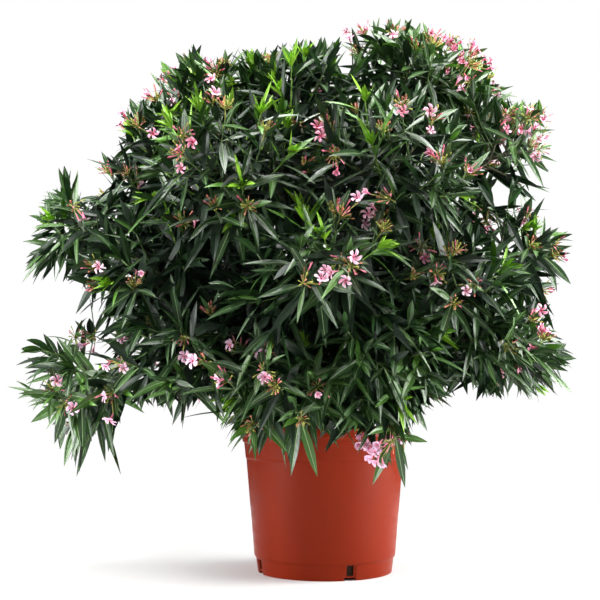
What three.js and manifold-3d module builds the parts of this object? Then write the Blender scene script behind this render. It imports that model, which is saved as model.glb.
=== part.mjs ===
// A large oleander shrub in a plastic nursery pot, in millimetres, +Z up.
// The origin is the centre of the pot's flat underside. The front of the plant faces -Y.
// Several stems rise from the soil. Each stem carries its leader mass of foliage at its tip and
// side boughs that carry the other masses. Every mass is one stem with shoots, whorled leaves and
// a few heads of blossom, fused into one solid that keeps to its own space in the crown.
import * as THREE from "three";
import { mergeVertices } from "three/addons/utils/BufferGeometryUtils.js";
import Module from "manifold-3d";

const wasm = await Module();
wasm.setup();

// ---- Pot -------------------------------------------------------------------------------------
const POT_HEIGHT = 432;
const RIM_RADIUS = 260;
const RIM_DEPTH = 26;
const COLLAR_RADIUS = 251;
const COLLAR_FOOT = 386;
const SHOULDER_RADIUS = 246;
const BEAD_HEIGHT = 338;
const BEAD_RADIUS = 239;
const BEAD_STEP = 2;
const BODY_FOOT = 50;
const BODY_FOOT_RADIUS = 213.5;
const BASE_TOP = 43;
const BASE_TOP_RADIUS = 208;
const BASE_RADIUS = 202;
const WALL = 5;
const FLOOR = 13;
const POT_SIDES = 28;

const SLOTS = 4;
const SLOT_TURN = 289.5; // degrees from +X of the first drain slot, seen from above
const SLOT_WIDTH = 22;
const SLOT_HEIGHT = 31;
const RECESS_WIDTH = 36;
const RECESS_DEPTH = 2.5; // leaves a wall behind it all the way up the base
const CHANNEL_WIDTH = 36;
const CHANNEL_HEIGHT = 8.5;
const CHANNEL_START = 90;

// ---- Soil ------------------------------------------------------------------------------------
const SOIL_TOP = 398;
const SOIL_DISH = 8; // how far the soil falls from the flat middle to the pot's wall
const SOIL_FLAT_RADIUS = 150;
const GAP = 0.3; // between pieces that touch
const LEAST_EDGE = 0.01;

// ---- Limbs -----------------------------------------------------------------------------------
const STEM_RADIUS = 17;
const STEM_TIP_RADIUS = 8;
const ROOT_FLARE = 0.45; // extra share of the radius at the soil
const FLARE_LENGTH = 45;
const STEM_RISE = 0.5; // share of its height that a stem climbs before it leans out
const BOUGH_RADIUS = 9;
const BOUGH_TIP_RADIUS = 6;
const BOUGH_SWEEP = 0.42; // share of its length that a bough follows its stem's direction
const LIMB_SIDES = 5;
const LIMB_STEPS = 4;
const CLEARANCE = 1.5; // least space between foliage and a limb or the pot

// azimuth is in degrees from +X, seen from above; foot is the distance from the pot's axis
const STEMS = [
  { name: "left", azimuth: 180, foot: 78, leader: "left_upper" },
  { name: "front_left", azimuth: 232, foot: 78, leader: "front_upper_left" },
  { name: "front", azimuth: 282, foot: 78, leader: "front_middle" },
  { name: "front_right", azimuth: 326, foot: 80, leader: "front_upper_right" },
  { name: "right", azimuth: 14, foot: 78, leader: "right_upper" },
  { name: "back_right", azimuth: 64, foot: 78, leader: "back_right" },
  { name: "back_left", azimuth: 124, foot: 78, leader: "back_left" },
  { name: "middle", azimuth: 90, foot: 6, leader: "top_middle" },
];

// ---- Masses of foliage -----------------------------------------------------------------------
// place holds the azimuth of the centre, its distance from the pot's axis and its height above the
// ground. size holds the half sizes across and up. stem carries the mass, and fork is where along
// that stem its bough leaves; a leader has none.
function mass(name, place, size, stem, fork) {
  const [azimuth, out, height] = place;
  const [spread, rise] = size;
  return { name, azimuth, out, height, spread, rise, stem, fork };
}

const MASSES = [
  mass("top_left", [172, 365, 1420], [280, 245], "middle", 0.58),
  mass("top_middle", [225, 120, 1430], [235, 230], "middle"),
  mass("top_right", [354, 275, 1490], [265, 255], "middle", 0.7),
  mass("top_back", [88, 360, 1350], [270, 240], "middle", 0.5),
  mass("right_shoulder", [22, 480, 1440], [230, 215], "back_right", 0.62),
  mass("right_upper", [354, 550, 1275], [250, 215], "right"),
  mass("right_middle", [350, 560, 940], [265, 240], "right", 0.5),
  mass("right_low", [2, 540, 655], [265, 150], "right", 0.28),
  mass("left_upper", [182, 530, 1235], [255, 235], "left"),
  mass("left_middle", [186, 720, 1025], [270, 235], "left", 0.52),
  mass("left_low", [193, 715, 530], [290, 255], "left", 0.25),
  mass("front_upper_left", [238, 480, 1105], [280, 250], "front_left"),
  mass("front_upper_right", [292, 450, 1110], [270, 250], "front_right"),
  mass("front_middle", [268, 500, 820], [265, 225], "front"),
  mass("front_right_middle", [312, 480, 800], [240, 215], "front_right", 0.45),
  mass("inner_left", [208, 520, 860], [240, 215], "front_left", 0.5),
  mass("front_low_left", [224, 500, 600], [255, 205], "front_left", 0.26),
  mass("front_low", [252, 450, 500], [250, 215], "front", 0.3),
  mass("front_low_middle", [284, 440, 640], [240, 200], "front", 0.4),
  mass("right_low_front", [332, 510, 615], [240, 190], "front_right", 0.3),
  mass("front_low_right", [302, 425, 475], [235, 200], "front_right", 0.2),
  mass("back_right", [52, 540, 1090], [265, 235], "back_right"),
  mass("back_low_right", [48, 520, 690], [260, 200], "back_right", 0.3),
  mass("back_left", [136, 570, 1080], [270, 240], "back_left"),
  mass("back_low_left", [142, 550, 690], [265, 200], "back_left", 0.3),
  mass("back_middle", [94, 540, 880], [265, 225], "back_left", 0.52),
];

// ---- Shoots, leaves and blossom --------------------------------------------------------------
const ENTRY_SHARE = 0.8; // how far out from a mass's centre its bough may end
const CELL_MARGIN = 2;
const SHOOTS = 8; // aimed at in each mass; the ones that would leave its space are skipped
const SHOOT_REACH = 0.5; // share of the mass's half size where a shoot ends and leaves go on
const SHOOT_JITTER = 0.12;
const BACKWARD_LIMIT = -0.55; // shoots that point further back along the bough are skipped
const MASS_STEM_RADIUS = 7;
const MASS_STEM_TIP_RADIUS = 6;
const MASS_STEM_SIDES = 4;
const MASS_STEM_STEPS = 2;
const SHOOT_RADIUS = 4;
const SHOOT_TIP_RADIUS = 3;
const SHOOT_SIDES = 3;
const LEAF_LENGTH = 155;
const LEAF_WIDTH = 58;
const LEAF_THICKNESS = 3;
const LEAF_DROOP = 0.1;
const LEAF_SHOULDER = 0.42;
const CLEAR_FROM = 0.14; // share of a leaf beyond which it touches nothing else
const BLOOM_CLEAR_FROM = 0.2;
const WHORL = 3;
// Whorls on a shoot: place along it and the angle its leaves make with it, in degrees.
const WHORLS = [
  { at: 0.96, open: 34 },
  { at: 0.72, open: 64 },
  { at: 0.46, open: 66 },
];
const BLOOM_RADIUS = 36;
const BLOOM_LENGTH = 56;
const BLOOM_THROAT = 0.7; // how far along the bloom its throat is closed
const BLOOM_SPREAD = 22; // degrees by which a bloom spreads the whorl under it
const PETALS = 5;
const BLOSSOM_SHARE = 0.2; // share of the shoots that end in a bloom

const GOLDEN_ANGLE = Math.PI * (3 - Math.sqrt(5));
const UP = new THREE.Vector3(0, 0, 1);

const material = (color, roughness) => new THREE.MeshStandardMaterial({ color, roughness, metalness: 0 });
const POT_FINISH = material(0xa33a26, 0.45);
const SOIL_FINISH = material(0x2b1d14, 0.95);
const BARK_FINISH = material(0x6b5d4a, 0.85);
const FOLIAGE_FINISH = material(0x2c4a22, 0.5);

// ---- Small helpers ---------------------------------------------------------------------------
const radians = (degrees) => (degrees * Math.PI) / 180;

function polar(azimuth, out, height) {
  const a = radians(azimuth);
  return new THREE.Vector3(out * Math.cos(a), out * Math.sin(a), height);
}

// A small seeded generator of numbers from 0 to 1.
function seeded(seed) {
  let state = seed >>> 0;
  return () => {
    state = (state + 0x6d2b79f5) >>> 0;
    let t = state;
    t = Math.imul(t ^ (t >>> 15), t | 1);
    t ^= t + Math.imul(t ^ (t >>> 7), t | 61);
    return ((t ^ (t >>> 14)) >>> 0) / 4294967296;
  };
}

// A closed three.js geometry as a solid.
function solidOf(geometry) {
  const bare = geometry.index ? geometry.toNonIndexed() : geometry.clone();
  bare.deleteAttribute("normal");
  bare.deleteAttribute("uv");
  const merged = mergeVertices(bare, 1e-3);
  const mesh = new wasm.Mesh({
    numProp: 3,
    vertProperties: new Float32Array(merged.attributes.position.array),
    triVerts: new Uint32Array(merged.index.array),
  });
  return new wasm.Manifold(mesh);
}

// A solid as a three.js geometry.
function geometryOf(solid) {
  const mesh = solid.getMesh();
  const corners = new Float32Array(mesh.numVert * 3);
  for (let i = 0; i < mesh.numVert; i++) {
    corners.set(mesh.vertProperties.subarray(i * mesh.numProp, i * mesh.numProp + 3), i * 3);
  }
  const geometry = new THREE.BufferGeometry();
  geometry.setAttribute("position", new THREE.BufferAttribute(corners, 3));
  geometry.setIndex(new THREE.BufferAttribute(mesh.triVerts, 1));
  geometry.computeVertexNormals();
  return geometry;
}

// Whether a fused solid is one body, with no two of its points closer than LEAST_EDGE.
function isSound(solid) {
  if (solid.decompose().length > 1) return false;
  const bare = geometryOf(solid);
  bare.deleteAttribute("normal");
  return mergeVertices(bare, LEAST_EDGE).attributes.position.count === solid.numVert();
}

function geometryFrom(points, faces) {
  const geometry = new THREE.BufferGeometry();
  const corners = points.flatMap((p) => [p.x, p.y, p.z]);
  geometry.setAttribute("position", new THREE.Float32BufferAttribute(corners, 3));
  geometry.setIndex(faces.flat());
  return geometry;
}

function namedMesh(name, solid, finish) {
  const mesh = new THREE.Mesh(geometryOf(solid), finish);
  mesh.name = name;
  return mesh;
}

// ---- Pot and soil ----------------------------------------------------------------------------
// Turns a profile of [radius, height] round the Z axis.
function turned(profile) {
  const points = profile.map(([radius, height]) => new THREE.Vector2(radius, height));
  return new THREE.LatheGeometry(points, POT_SIDES).rotateX(Math.PI / 2);
}

// The pot's outside from its foot to the top of its rim.
const POT_OUTSIDE = [
  [BASE_RADIUS, 0],
  [BASE_TOP_RADIUS, BASE_TOP],
  [BODY_FOOT_RADIUS, BODY_FOOT],
  [BEAD_RADIUS, BEAD_HEIGHT],
  [BEAD_RADIUS + BEAD_STEP, BEAD_HEIGHT + BEAD_STEP],
  [SHOULDER_RADIUS, COLLAR_FOOT],
  [COLLAR_RADIUS, COLLAR_FOOT + 3],
  [COLLAR_RADIUS + 1, POT_HEIGHT - RIM_DEPTH],
  [RIM_RADIUS, POT_HEIGHT - RIM_DEPTH + 1],
  [RIM_RADIUS, POT_HEIGHT - 3],
  [RIM_RADIUS - 3, POT_HEIGHT],
];
const RIM_INSIDE = COLLAR_RADIUS - WALL + 2;
const INNER_TOP = SHOULDER_RADIUS - WALL;
const INNER_FOOT = BASE_RADIUS - WALL;

// A block that runs outwards along +X from start, centred on the X axis.
function radialBlock(start, length, width, low, height) {
  return new THREE.BoxGeometry(length, width, height).translate(start + length / 2, 0, low + height / 2);
}

// A block for the recess round a slot. Its inner face leans out as the base does.
function recessBlock(reach) {
  const lean = Math.atan2(BASE_TOP_RADIUS - BASE_RADIUS, BASE_TOP);
  const block = radialBlock(0, reach, RECESS_WIDTH, -RECESS_DEPTH, BASE_TOP + RECESS_DEPTH);
  return block.rotateY(lean).translate(BASE_RADIUS - RECESS_DEPTH, 0, 0);
}

function makePot() {
  const inside = [
    [RIM_INSIDE, POT_HEIGHT],
    [INNER_TOP, COLLAR_FOOT],
    [INNER_FOOT, FLOOR],
    [0, FLOOR],
  ];
  let pot = solidOf(turned([[0, 0], ...POT_OUTSIDE, ...inside]));
  for (let i = 0; i < SLOTS; i++) {
    const turn = radians(SLOT_TURN + (i * 360) / SLOTS);
    const reach = BODY_FOOT_RADIUS - BASE_RADIUS + WALL * 4;
    const cuts = [
      radialBlock(INNER_FOOT - WALL, reach, SLOT_WIDTH, FLOOR, SLOT_HEIGHT),
      recessBlock(reach),
      radialBlock(CHANNEL_START, RIM_RADIUS, CHANNEL_WIDTH, -1, CHANNEL_HEIGHT + 1),
    ];
    for (const block of cuts) pot = pot.subtract(solidOf(block.rotateZ(turn)));
  }
  return pot;
}

function makeSoil() {
  const low = FLOOR + GAP;
  const edge = SOIL_TOP - SOIL_DISH;
  const share = (edge - COLLAR_FOOT) / (POT_HEIGHT - COLLAR_FOOT);
  const edgeRadius = INNER_TOP + (RIM_INSIDE - INNER_TOP) * share;
  const profile = [
    [0, low],
    [INNER_FOOT - GAP, low],
    [INNER_TOP - GAP, COLLAR_FOOT],
    [edgeRadius - GAP, edge],
    [SOIL_FLAT_RADIUS, SOIL_TOP],
    [0, SOIL_TOP],
  ];
  return solidOf(turned(profile));
}

// The filled pot, grown by the clearance, which foliage must not touch.
function potSpace() {
  const grown = POT_OUTSIDE.map(([radius, height]) => [radius + CLEARANCE, height]);
  return solidOf(turned([[0, 0], ...grown, [0, POT_HEIGHT]]));
}

// ---- Limbs -----------------------------------------------------------------------------------
// A tube of flat-sided rings along a curve, closed at both ends.
function tube(curve, radiusAt, sides, steps) {
  const frames = curve.computeFrenetFrames(steps);
  const points = [];
  const faces = [];
  for (let i = 0; i <= steps; i++) {
    const centre = curve.getPointAt(i / steps);
    for (let j = 0; j < sides; j++) {
      const angle = (2 * Math.PI * j) / sides;
      const offset = frames.normals[i].clone().multiplyScalar(Math.cos(angle));
      offset.addScaledVector(frames.binormals[i], Math.sin(angle));
      points.push(centre.clone().addScaledVector(offset, radiusAt(i / steps)));
    }
  }
  for (let i = 0; i < steps; i++) {
    for (let j = 0; j < sides; j++) {
      const a = i * sides + j;
      const b = i * sides + ((j + 1) % sides);
      faces.push([a, b, b + sides], [a, b + sides, a + sides]);
    }
  }
  const last = steps * sides;
  for (let j = 1; j < sides - 1; j++) {
    faces.push([0, j + 1, j], [last, last + j, last + j + 1]);
  }
  return solidOf(geometryFrom(points, faces));
}

function taper(from, to) {
  return (t) => from + (to - from) * t;
}

// ---- The space of each mass ------------------------------------------------------------------
for (const mass of MASSES) {
  mass.centre = polar(mass.azimuth, mass.out, mass.height);
  mass.weight = ((mass.spread + mass.rise) / 2) ** 2;
}

// Whether a point is inside the rounded form that a mass fills.
function insideForm(point, mass) {
  const from = point.clone().sub(mass.centre);
  return Math.hypot(from.x / mass.spread, from.y / mass.spread, from.z / mass.rise) < 1;
}

// Spaces are the cells of a power diagram, so they are convex and never overlap.
function insideSpace(point, mass, margin) {
  const own = point.distanceToSquared(mass.centre) - mass.weight;
  return MASSES.every((other) => {
    if (other === mass) return true;
    const theirs = point.distanceToSquared(other.centre) - other.weight;
    return theirs - own > 2 * margin * mass.centre.distanceTo(other.centre);
  });
}

// The point where a limb from `from` enters a mass: as far out as the mass's space allows.
function entryPoint(mass, from) {
  const inward = from.clone().sub(mass.centre).normalize();
  inward.z *= mass.rise / mass.spread;
  let share = ENTRY_SHARE;
  const at = () => mass.centre.clone().addScaledVector(inward, mass.spread * share);
  while (share > 0.1 && !insideSpace(at(), mass, MASS_STEM_RADIUS + CELL_MARGIN)) share -= 0.02;
  return at();
}

function makeStem(stem) {
  const leader = MASSES.find((mass) => mass.name === stem.leader);
  const foot = polar(stem.azimuth, stem.foot, SOIL_TOP + GAP);
  const rise = leader.height - SOIL_TOP;
  const bend = foot.clone().addScaledVector(UP, rise * STEM_RISE);
  const tip = entryPoint(leader, bend);
  const curve = new THREE.QuadraticBezierCurve3(foot, bend, tip);
  const length = curve.getLength();
  const flare = (t) => 1 + ROOT_FLARE * Math.exp((-t * length) / FLARE_LENGTH);
  const plain = taper(STEM_RADIUS, STEM_TIP_RADIUS);
  return { name: "stem_" + stem.name, curve, radiusAt: (t) => plain(t) * flare(t), carries: leader };
}

function makeBough(mass, stem) {
  const from = stem.curve.getPointAt(mass.fork);
  const tip = entryPoint(mass, from);
  const along = stem.curve.getTangentAt(mass.fork);
  const bend = from.clone().addScaledVector(along, from.distanceTo(tip) * BOUGH_SWEEP);
  const curve = new THREE.QuadraticBezierCurve3(from, bend, tip);
  return {
    name: "bough_" + mass.name,
    curve,
    radiusAt: taper(BOUGH_RADIUS, BOUGH_TIP_RADIUS),
    carries: mass,
    onto: stem,
  };
}

const limbSolid = (limb, grow) =>
  tube(limb.curve, (t) => limb.radiusAt(t) + grow, LIMB_SIDES, LIMB_STEPS);

// ---- Foliage ---------------------------------------------------------------------------------
// A pointed blade with a straight midrib along its top and its edges a little lower. It starts
// `from` its length out from `root`, and its tip hangs.
function leafPoints(root, along, face, size, from) {
  const length = LEAF_LENGTH * size;
  const half = (LEAF_WIDTH * size) / 2;
  const midrib = along.clone().multiplyScalar(length);
  midrib.z -= LEAF_DROOP * length;
  const across = new THREE.Vector3().crossVectors(face, along).normalize();
  const shoulder = root.clone().addScaledVector(midrib, LEAF_SHOULDER);
  shoulder.addScaledVector(face, -LEAF_THICKNESS);
  return [
    root.clone().addScaledVector(midrib, from),
    shoulder.clone().addScaledVector(across, half),
    shoulder.clone().addScaledVector(across, -half),
    root.clone().add(midrib),
  ];
}
const LEAF_FACES = [[0, 3, 1], [0, 2, 3], [0, 1, 2], [3, 2, 1]];

// A head of blossom: a funnel with five points that opens along `along`.
function bloomPoints(root, along, turn, from) {
  const side = new THREE.Vector3(1, 0.3, 0.2).cross(along).normalize();
  const other = new THREE.Vector3().crossVectors(along, side);
  const at = (forward, radius, angle) =>
    root
      .clone()
      .addScaledVector(along, forward)
      .addScaledVector(side, radius * Math.cos(angle))
      .addScaledVector(other, radius * Math.sin(angle));
  const points = [at(BLOOM_LENGTH * from, 0, 0), at(BLOOM_LENGTH * BLOOM_THROAT, 0, 0)];
  for (let i = 0; i < PETALS; i++) {
    points.push(at(BLOOM_LENGTH, BLOOM_RADIUS, turn + (2 * Math.PI * i) / PETALS));
  }
  return points;
}

function bloomFaces() {
  const faces = [];
  for (let i = 0; i < PETALS; i++) {
    const a = 2 + i;
    const b = 2 + ((i + 1) % PETALS);
    faces.push([0, b, a], [1, a, b]);
  }
  return faces;
}
const BLOOM_FACES = bloomFaces();

// Two directions square to each other and to `along`.
function sidesOf(along) {
  const helper = Math.abs(along.z) < 0.9 ? UP : new THREE.Vector3(1, 0, 0);
  const first = new THREE.Vector3().crossVectors(along, helper).normalize();
  return [first, new THREE.Vector3().crossVectors(along, first)];
}

// A direction that leans away from `along` by `open` degrees, turned round it by `turn`.
function leaning(along, open, turn) {
  const [first, second] = sidesOf(along);
  const outward = first.multiplyScalar(Math.cos(turn)).addScaledVector(second, Math.sin(turn));
  const lean = radians(open);
  const direction = along.clone().multiplyScalar(Math.cos(lean)).addScaledVector(outward, Math.sin(lean));
  const face = along.clone().multiplyScalar(Math.sin(lean)).addScaledVector(outward, -Math.cos(lean));
  return { direction, face };
}

class Mass {
  constructor(mass, limb, limbs) {
    this.mass = mass;
    this.limbs = limbs;
    this.random = seeded(MASSES.indexOf(mass) + 1);
    const tip = limb.curve.getPointAt(1);
    const along = limb.curve.getTangentAt(1);
    const root = tip.clone().addScaledVector(along, GAP);
    const bend = root.clone().addScaledVector(along, tip.distanceTo(mass.centre) * 0.5);
    this.stem = new THREE.QuadraticBezierCurve3(root, bend, mass.centre.clone());
    const radiusAt = taper(MASS_STEM_RADIUS, MASS_STEM_TIP_RADIUS);
    this.solid = tube(this.stem, radiusAt, MASS_STEM_SIDES, MASS_STEM_STEPS);
  }

  // Fuses a piece on, if it is clear of every limb and its outer part of all the foliage.
  join(piece, outer) {
    if (this.limbs.some((limb) => !piece.intersect(limb).isEmpty())) return false;
    if (outer && !outer.intersect(this.solid).isEmpty()) return false;
    const joined = this.solid.add(piece);
    if (!isSound(joined)) return false;
    this.solid = joined;
    return true;
  }

  // Joins the piece that `shape` makes from the root, if all of it stays in this mass's space.
  // The same shape started at `clearFrom` of its length has to be clear of the foliage.
  fuse(shape, faces, clearFrom) {
    const points = shape(0);
    if (!points.every((p) => insideForm(p, this.mass))) return false;
    if (!points.every((p) => insideSpace(p, this.mass, CELL_MARGIN))) return false;
    return this.join(solidOf(geometryFrom(points, faces)), solidOf(geometryFrom(shape(clearFrom), faces)));
  }

  // The end of shoot number `i`: spread evenly over the mass's outside.
  shootTip(i) {
    const level = 1 - (2 * (i + 0.5)) / SHOOTS;
    const turn = GOLDEN_ANGLE * i + this.mass.azimuth;
    const flat = Math.sqrt(1 - level * level);
    const reach = SHOOT_REACH * (1 + SHOOT_JITTER * (this.random() - 0.5));
    const { centre, spread, rise } = this.mass;
    return new THREE.Vector3(
      centre.x + spread * reach * flat * Math.cos(turn),
      centre.y + spread * reach * flat * Math.sin(turn),
      centre.z + rise * reach * level,
    );
  }

  grow() {
    const shoots = [];
    for (let i = 0; i < SHOOTS; i++) {
      const shoot = this.growShoot(this.shootTip(i));
      if (shoot) shoots.push(shoot);
    }
    shoots.filter((shoot) => shoot.blooms).forEach((shoot) => this.growBloom(shoot));
    shoots.forEach((shoot) => this.growLeaves(shoot));
  }

  growShoot(tip) {
    const blooms = this.random() < BLOSSOM_SHARE;
    const turn = this.random() * 2 * Math.PI;
    const size = 0.9 + 0.25 * this.random();
    const stemWay = this.stem.getTangentAt(1);
    const outward = tip.clone().sub(this.mass.centre).normalize();
    const forward = outward.dot(stemWay);
    if (forward < BACKWARD_LIMIT) return null;
    const from = this.stem.getPointAt(0.65 + 0.3 * forward * (forward > 0 ? 1 : 0.6));
    if (!insideSpace(tip, this.mass, CELL_MARGIN + SHOOT_RADIUS)) return null;
    const line = new THREE.LineCurve3(from, tip);
    const twig = tube(line, taper(SHOOT_RADIUS, SHOOT_TIP_RADIUS), SHOOT_SIDES, 1);
    return this.join(twig) ? { line, blooms, turn, size } : null;
  }

  growLeaves({ line, turn, size, blooms }) {
    WHORLS.forEach((whorl, level) => {
      const root = line.getPointAt(whorl.at);
      const along = line.getTangentAt(whorl.at);
      for (let k = 0; k < WHORL; k++) {
        const angle = turn + ((k + level / 2) * 2 * Math.PI) / WHORL;
        const open = whorl.open + (blooms && level === 0 ? BLOOM_SPREAD : 0);
        const { direction, face } = leaning(along, open, angle);
        const shape = (from) => leafPoints(root, direction, face, size, from);
        this.fuse(shape, LEAF_FACES, CLEAR_FROM);
      }
    });
  }

  growBloom({ line, turn }) {
    const along = line.getTangentAt(1);
    const root = line.getPointAt(1).addScaledVector(along, -SHOOT_TIP_RADIUS);
    this.fuse((from) => bloomPoints(root, along, turn, from), BLOOM_FACES, BLOOM_CLEAR_FROM);
  }

  // The one body that hangs together: a loose scrap is dropped and a sealed hollow filled.
  whole() {
    return this.solid.decompose().sort((a, b) => b.volume() - a.volume())[0];
  }
}

// ---- Assembly --------------------------------------------------------------------------------
const stems = new Map(STEMS.map((stem) => [stem.name, makeStem(stem)]));
const boughs = MASSES.filter((mass) => mass.fork).map((mass) => makeBough(mass, stems.get(mass.stem)));
const limbs = [...stems.values(), ...boughs];

const oleander = new THREE.Group();
oleander.add(namedMesh("pot", makePot(), POT_FINISH));
oleander.add(namedMesh("soil", makeSoil(), SOIL_FINISH));
for (const limb of limbs) {
  let solid = limbSolid(limb, 0);
  if (limb.onto) solid = solid.subtract(limbSolid(limb.onto, GAP));
  oleander.add(namedMesh(limb.name, solid.decompose()[0], BARK_FINISH));
}
const keepClear = [potSpace(), ...limbs.map((limb) => limbSolid(limb, CLEARANCE))];
for (const limb of limbs) {
  const others = keepClear.filter((_, i) => i === 0 || limbs[i - 1] !== limb);
  const mass = new Mass(limb.carries, limb, [...others, limbSolid(limb, GAP / 2)]);
  mass.grow();
  oleander.add(namedMesh("foliage_" + limb.carries.name, mass.whole(), FOLIAGE_FINISH));
}
export default oleander;
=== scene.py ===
import math
from collections import namedtuple

import bmesh
import bpy
import numpy as np
from mathutils import Matrix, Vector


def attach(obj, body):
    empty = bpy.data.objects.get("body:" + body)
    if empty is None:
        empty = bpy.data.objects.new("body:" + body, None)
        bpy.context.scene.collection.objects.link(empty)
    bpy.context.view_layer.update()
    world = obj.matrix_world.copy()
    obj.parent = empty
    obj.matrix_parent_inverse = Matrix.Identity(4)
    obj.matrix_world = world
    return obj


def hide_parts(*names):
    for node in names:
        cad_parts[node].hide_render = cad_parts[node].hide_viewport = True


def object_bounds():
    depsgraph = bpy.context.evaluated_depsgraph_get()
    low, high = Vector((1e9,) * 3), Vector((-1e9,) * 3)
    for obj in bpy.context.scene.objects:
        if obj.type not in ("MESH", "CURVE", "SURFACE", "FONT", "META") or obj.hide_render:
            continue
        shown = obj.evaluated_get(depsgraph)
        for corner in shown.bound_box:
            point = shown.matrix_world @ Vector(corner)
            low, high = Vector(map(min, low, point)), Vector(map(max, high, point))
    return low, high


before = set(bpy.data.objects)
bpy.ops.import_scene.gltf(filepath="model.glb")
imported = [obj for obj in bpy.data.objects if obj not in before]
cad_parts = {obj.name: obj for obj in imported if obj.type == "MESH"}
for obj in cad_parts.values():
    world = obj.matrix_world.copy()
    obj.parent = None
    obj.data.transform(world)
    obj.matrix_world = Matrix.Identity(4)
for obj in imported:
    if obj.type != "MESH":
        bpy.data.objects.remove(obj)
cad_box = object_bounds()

MM = 0.001
UP = np.array([0.0, 0.0, 1.0])
GOLDEN_ANGLE = math.pi * (3 - math.sqrt(5))
rng = np.random.RandomState(7)

# ---- Camera, first, because blossom is placed by what it sees ----
IMAGE_WIDTH = 600
FOCAL_PIXELS = 1050
SENSOR = 36
CAMERA_PLACE = np.array([-0.075, -3.25, 0.500])
CAMERA_PITCH = math.radians(5.7)
MIDDLE = IMAGE_WIDTH / 2
FORWARD = np.array([0, math.cos(CAMERA_PITCH), math.sin(CAMERA_PITCH)])
OVER = np.array([0, -math.sin(CAMERA_PITCH), math.cos(CAMERA_PITCH)])
RIGHT = np.array([1.0, 0, 0])


def put_in_scene(name, data):
    thing = bpy.data.objects.new(name, data)
    bpy.context.scene.collection.objects.link(thing)
    return thing


def make_camera():
    data = bpy.data.cameras.new("camera")
    data.sensor_width = SENSOR
    data.lens = FOCAL_PIXELS / IMAGE_WIDTH * SENSOR
    camera = put_in_scene("camera", data)
    camera.location = CAMERA_PLACE
    camera.rotation_euler = (math.pi / 2 + CAMERA_PITCH, 0, 0)
    bpy.context.scene.camera = camera


def to_image(points):
    """Pixel x, pixel y and depth of each point."""
    offset = np.asarray(points) - CAMERA_PLACE
    depth = offset @ FORWARD
    x = MIDDLE + FOCAL_PIXELS * offset[..., 0] / depth
    y = MIDDLE - FOCAL_PIXELS * (offset @ OVER) / depth
    return np.stack([x, y, depth], axis=-1)


def from_image(x, y, depth):
    """The point at a pixel and a depth."""
    ray = FORWARD + RIGHT * (x - MIDDLE) / FOCAL_PIXELS - OVER * (y - MIDDLE) / FOCAL_PIXELS
    return CAMERA_PLACE + ray * depth


# ---- The crown's outline and its open places, in pixels of the 600 x 600 image ----
OUTLINE = [
    (572, 232), (568, 262), (555, 284), (550, 304), (552, 326), (560, 338), (577, 357), (562, 372),
    (573, 394), (553, 384), (547, 395), (541, 388), (532, 400), (516, 384), (502, 400), (490, 396),
    (480, 392), (463, 382), (449, 394), (444, 408), (436, 404), (425, 408), (419, 428), (414, 446),
    (416, 464), (404, 486), (386, 474), (372, 482), (360, 462), (353, 434), (344, 431), (341, 458),
    (336, 431), (329, 432), (326, 455), (320, 440), (317, 475), (312, 475), (303, 438), (294, 438),
    (292, 473), (287, 473), (278, 438), (270, 446), (262, 436), (257, 463), (249, 463), (244, 434),
    (236, 432), (226, 454), (222, 440), (222, 425), (210, 396), (194, 400), (176, 424), (167, 402),
    (158, 408), (134, 398), (122, 408), (117, 436), (127, 476), (116, 468), (104, 444), (90, 444),
    (78, 476), (62, 460), (54, 436), (40, 414), (28, 402), (4, 385), (26, 374), (20, 348),
    (42, 330), (66, 328), (92, 306), (117, 305), (96, 298), (74, 281), (22, 282), (30, 238),
    (40, 213), (44, 196), (58, 190), (66, 166), (80, 176), (103, 160), (117, 152), (119, 133),
    (123, 112), (141, 99), (157, 90), (162, 66), (176, 60), (192, 42), (205, 52), (228, 57),
    (245, 50), (264, 49), (282, 48), (300, 40), (319, 43), (336, 52), (340, 30), (350, 26),
    (372, 26), (404, 17), (420, 24), (428, 30), (455, 33), (481, 43), (496, 58), (494, 78),
    (512, 90), (508, 98), (532, 98), (552, 116), (548, 150), (548, 162), (530, 176), (552, 191),
    (546, 200), (546, 217), (558, 228),
]
# centre and half sizes of each open place
SKY = [
    (500, 194, 12, 14), (534, 172, 14, 6), (540, 204, 8, 6), (94, 184, 16, 12), (546, 341, 7, 5),
    (562, 374, 6, 5), (42, 378, 13, 5), (458, 388, 8, 7), (512, 388, 6, 6), (158, 363, 6, 8),
    (345, 62, 8, 12), (211, 58, 5, 6), (112, 312, 5, 5), (505, 104, 7, 5), (97, 445, 5, 10),
    (66, 446, 4, 8), (478, 217, 7, 5), (451, 378, 4, 7), (465, 342, 6, 5), (498, 329, 4, 4),
]
OUTLINE_POINTS = np.array(OUTLINE, float)
OUTLINE_NEXT = np.roll(OUTLINE_POINTS, -1, axis=0)
SKY_PLACES = np.array(SKY, float)


def depth_in_outline(points):
    """How many pixels each point shows inside the crown's outline; less than 0 is outside."""
    seen = to_image(np.atleast_2d(points))[:, None, :2]
    edge = OUTLINE_NEXT - OUTLINE_POINTS
    along = ((seen - OUTLINE_POINTS) * edge).sum(axis=2) / (edge**2).sum(axis=1)
    nearest = OUTLINE_POINTS + edge * np.clip(along, 0, 1)[..., None]
    away = np.linalg.norm(seen - nearest, axis=2).min(axis=1)
    above = (OUTLINE_POINTS[:, 1] > seen[..., 1]) != (OUTLINE_NEXT[:, 1] > seen[..., 1])
    with np.errstate(divide="ignore", invalid="ignore"):
        at = OUTLINE_POINTS[:, 0] + edge[:, 0] * (seen[..., 1] - OUTLINE_POINTS[:, 1]) / edge[:, 1]
    inside = (above & (seen[..., 0] < at)).sum(axis=1) % 2 == 1
    return np.where(inside, away, -away)


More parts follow.
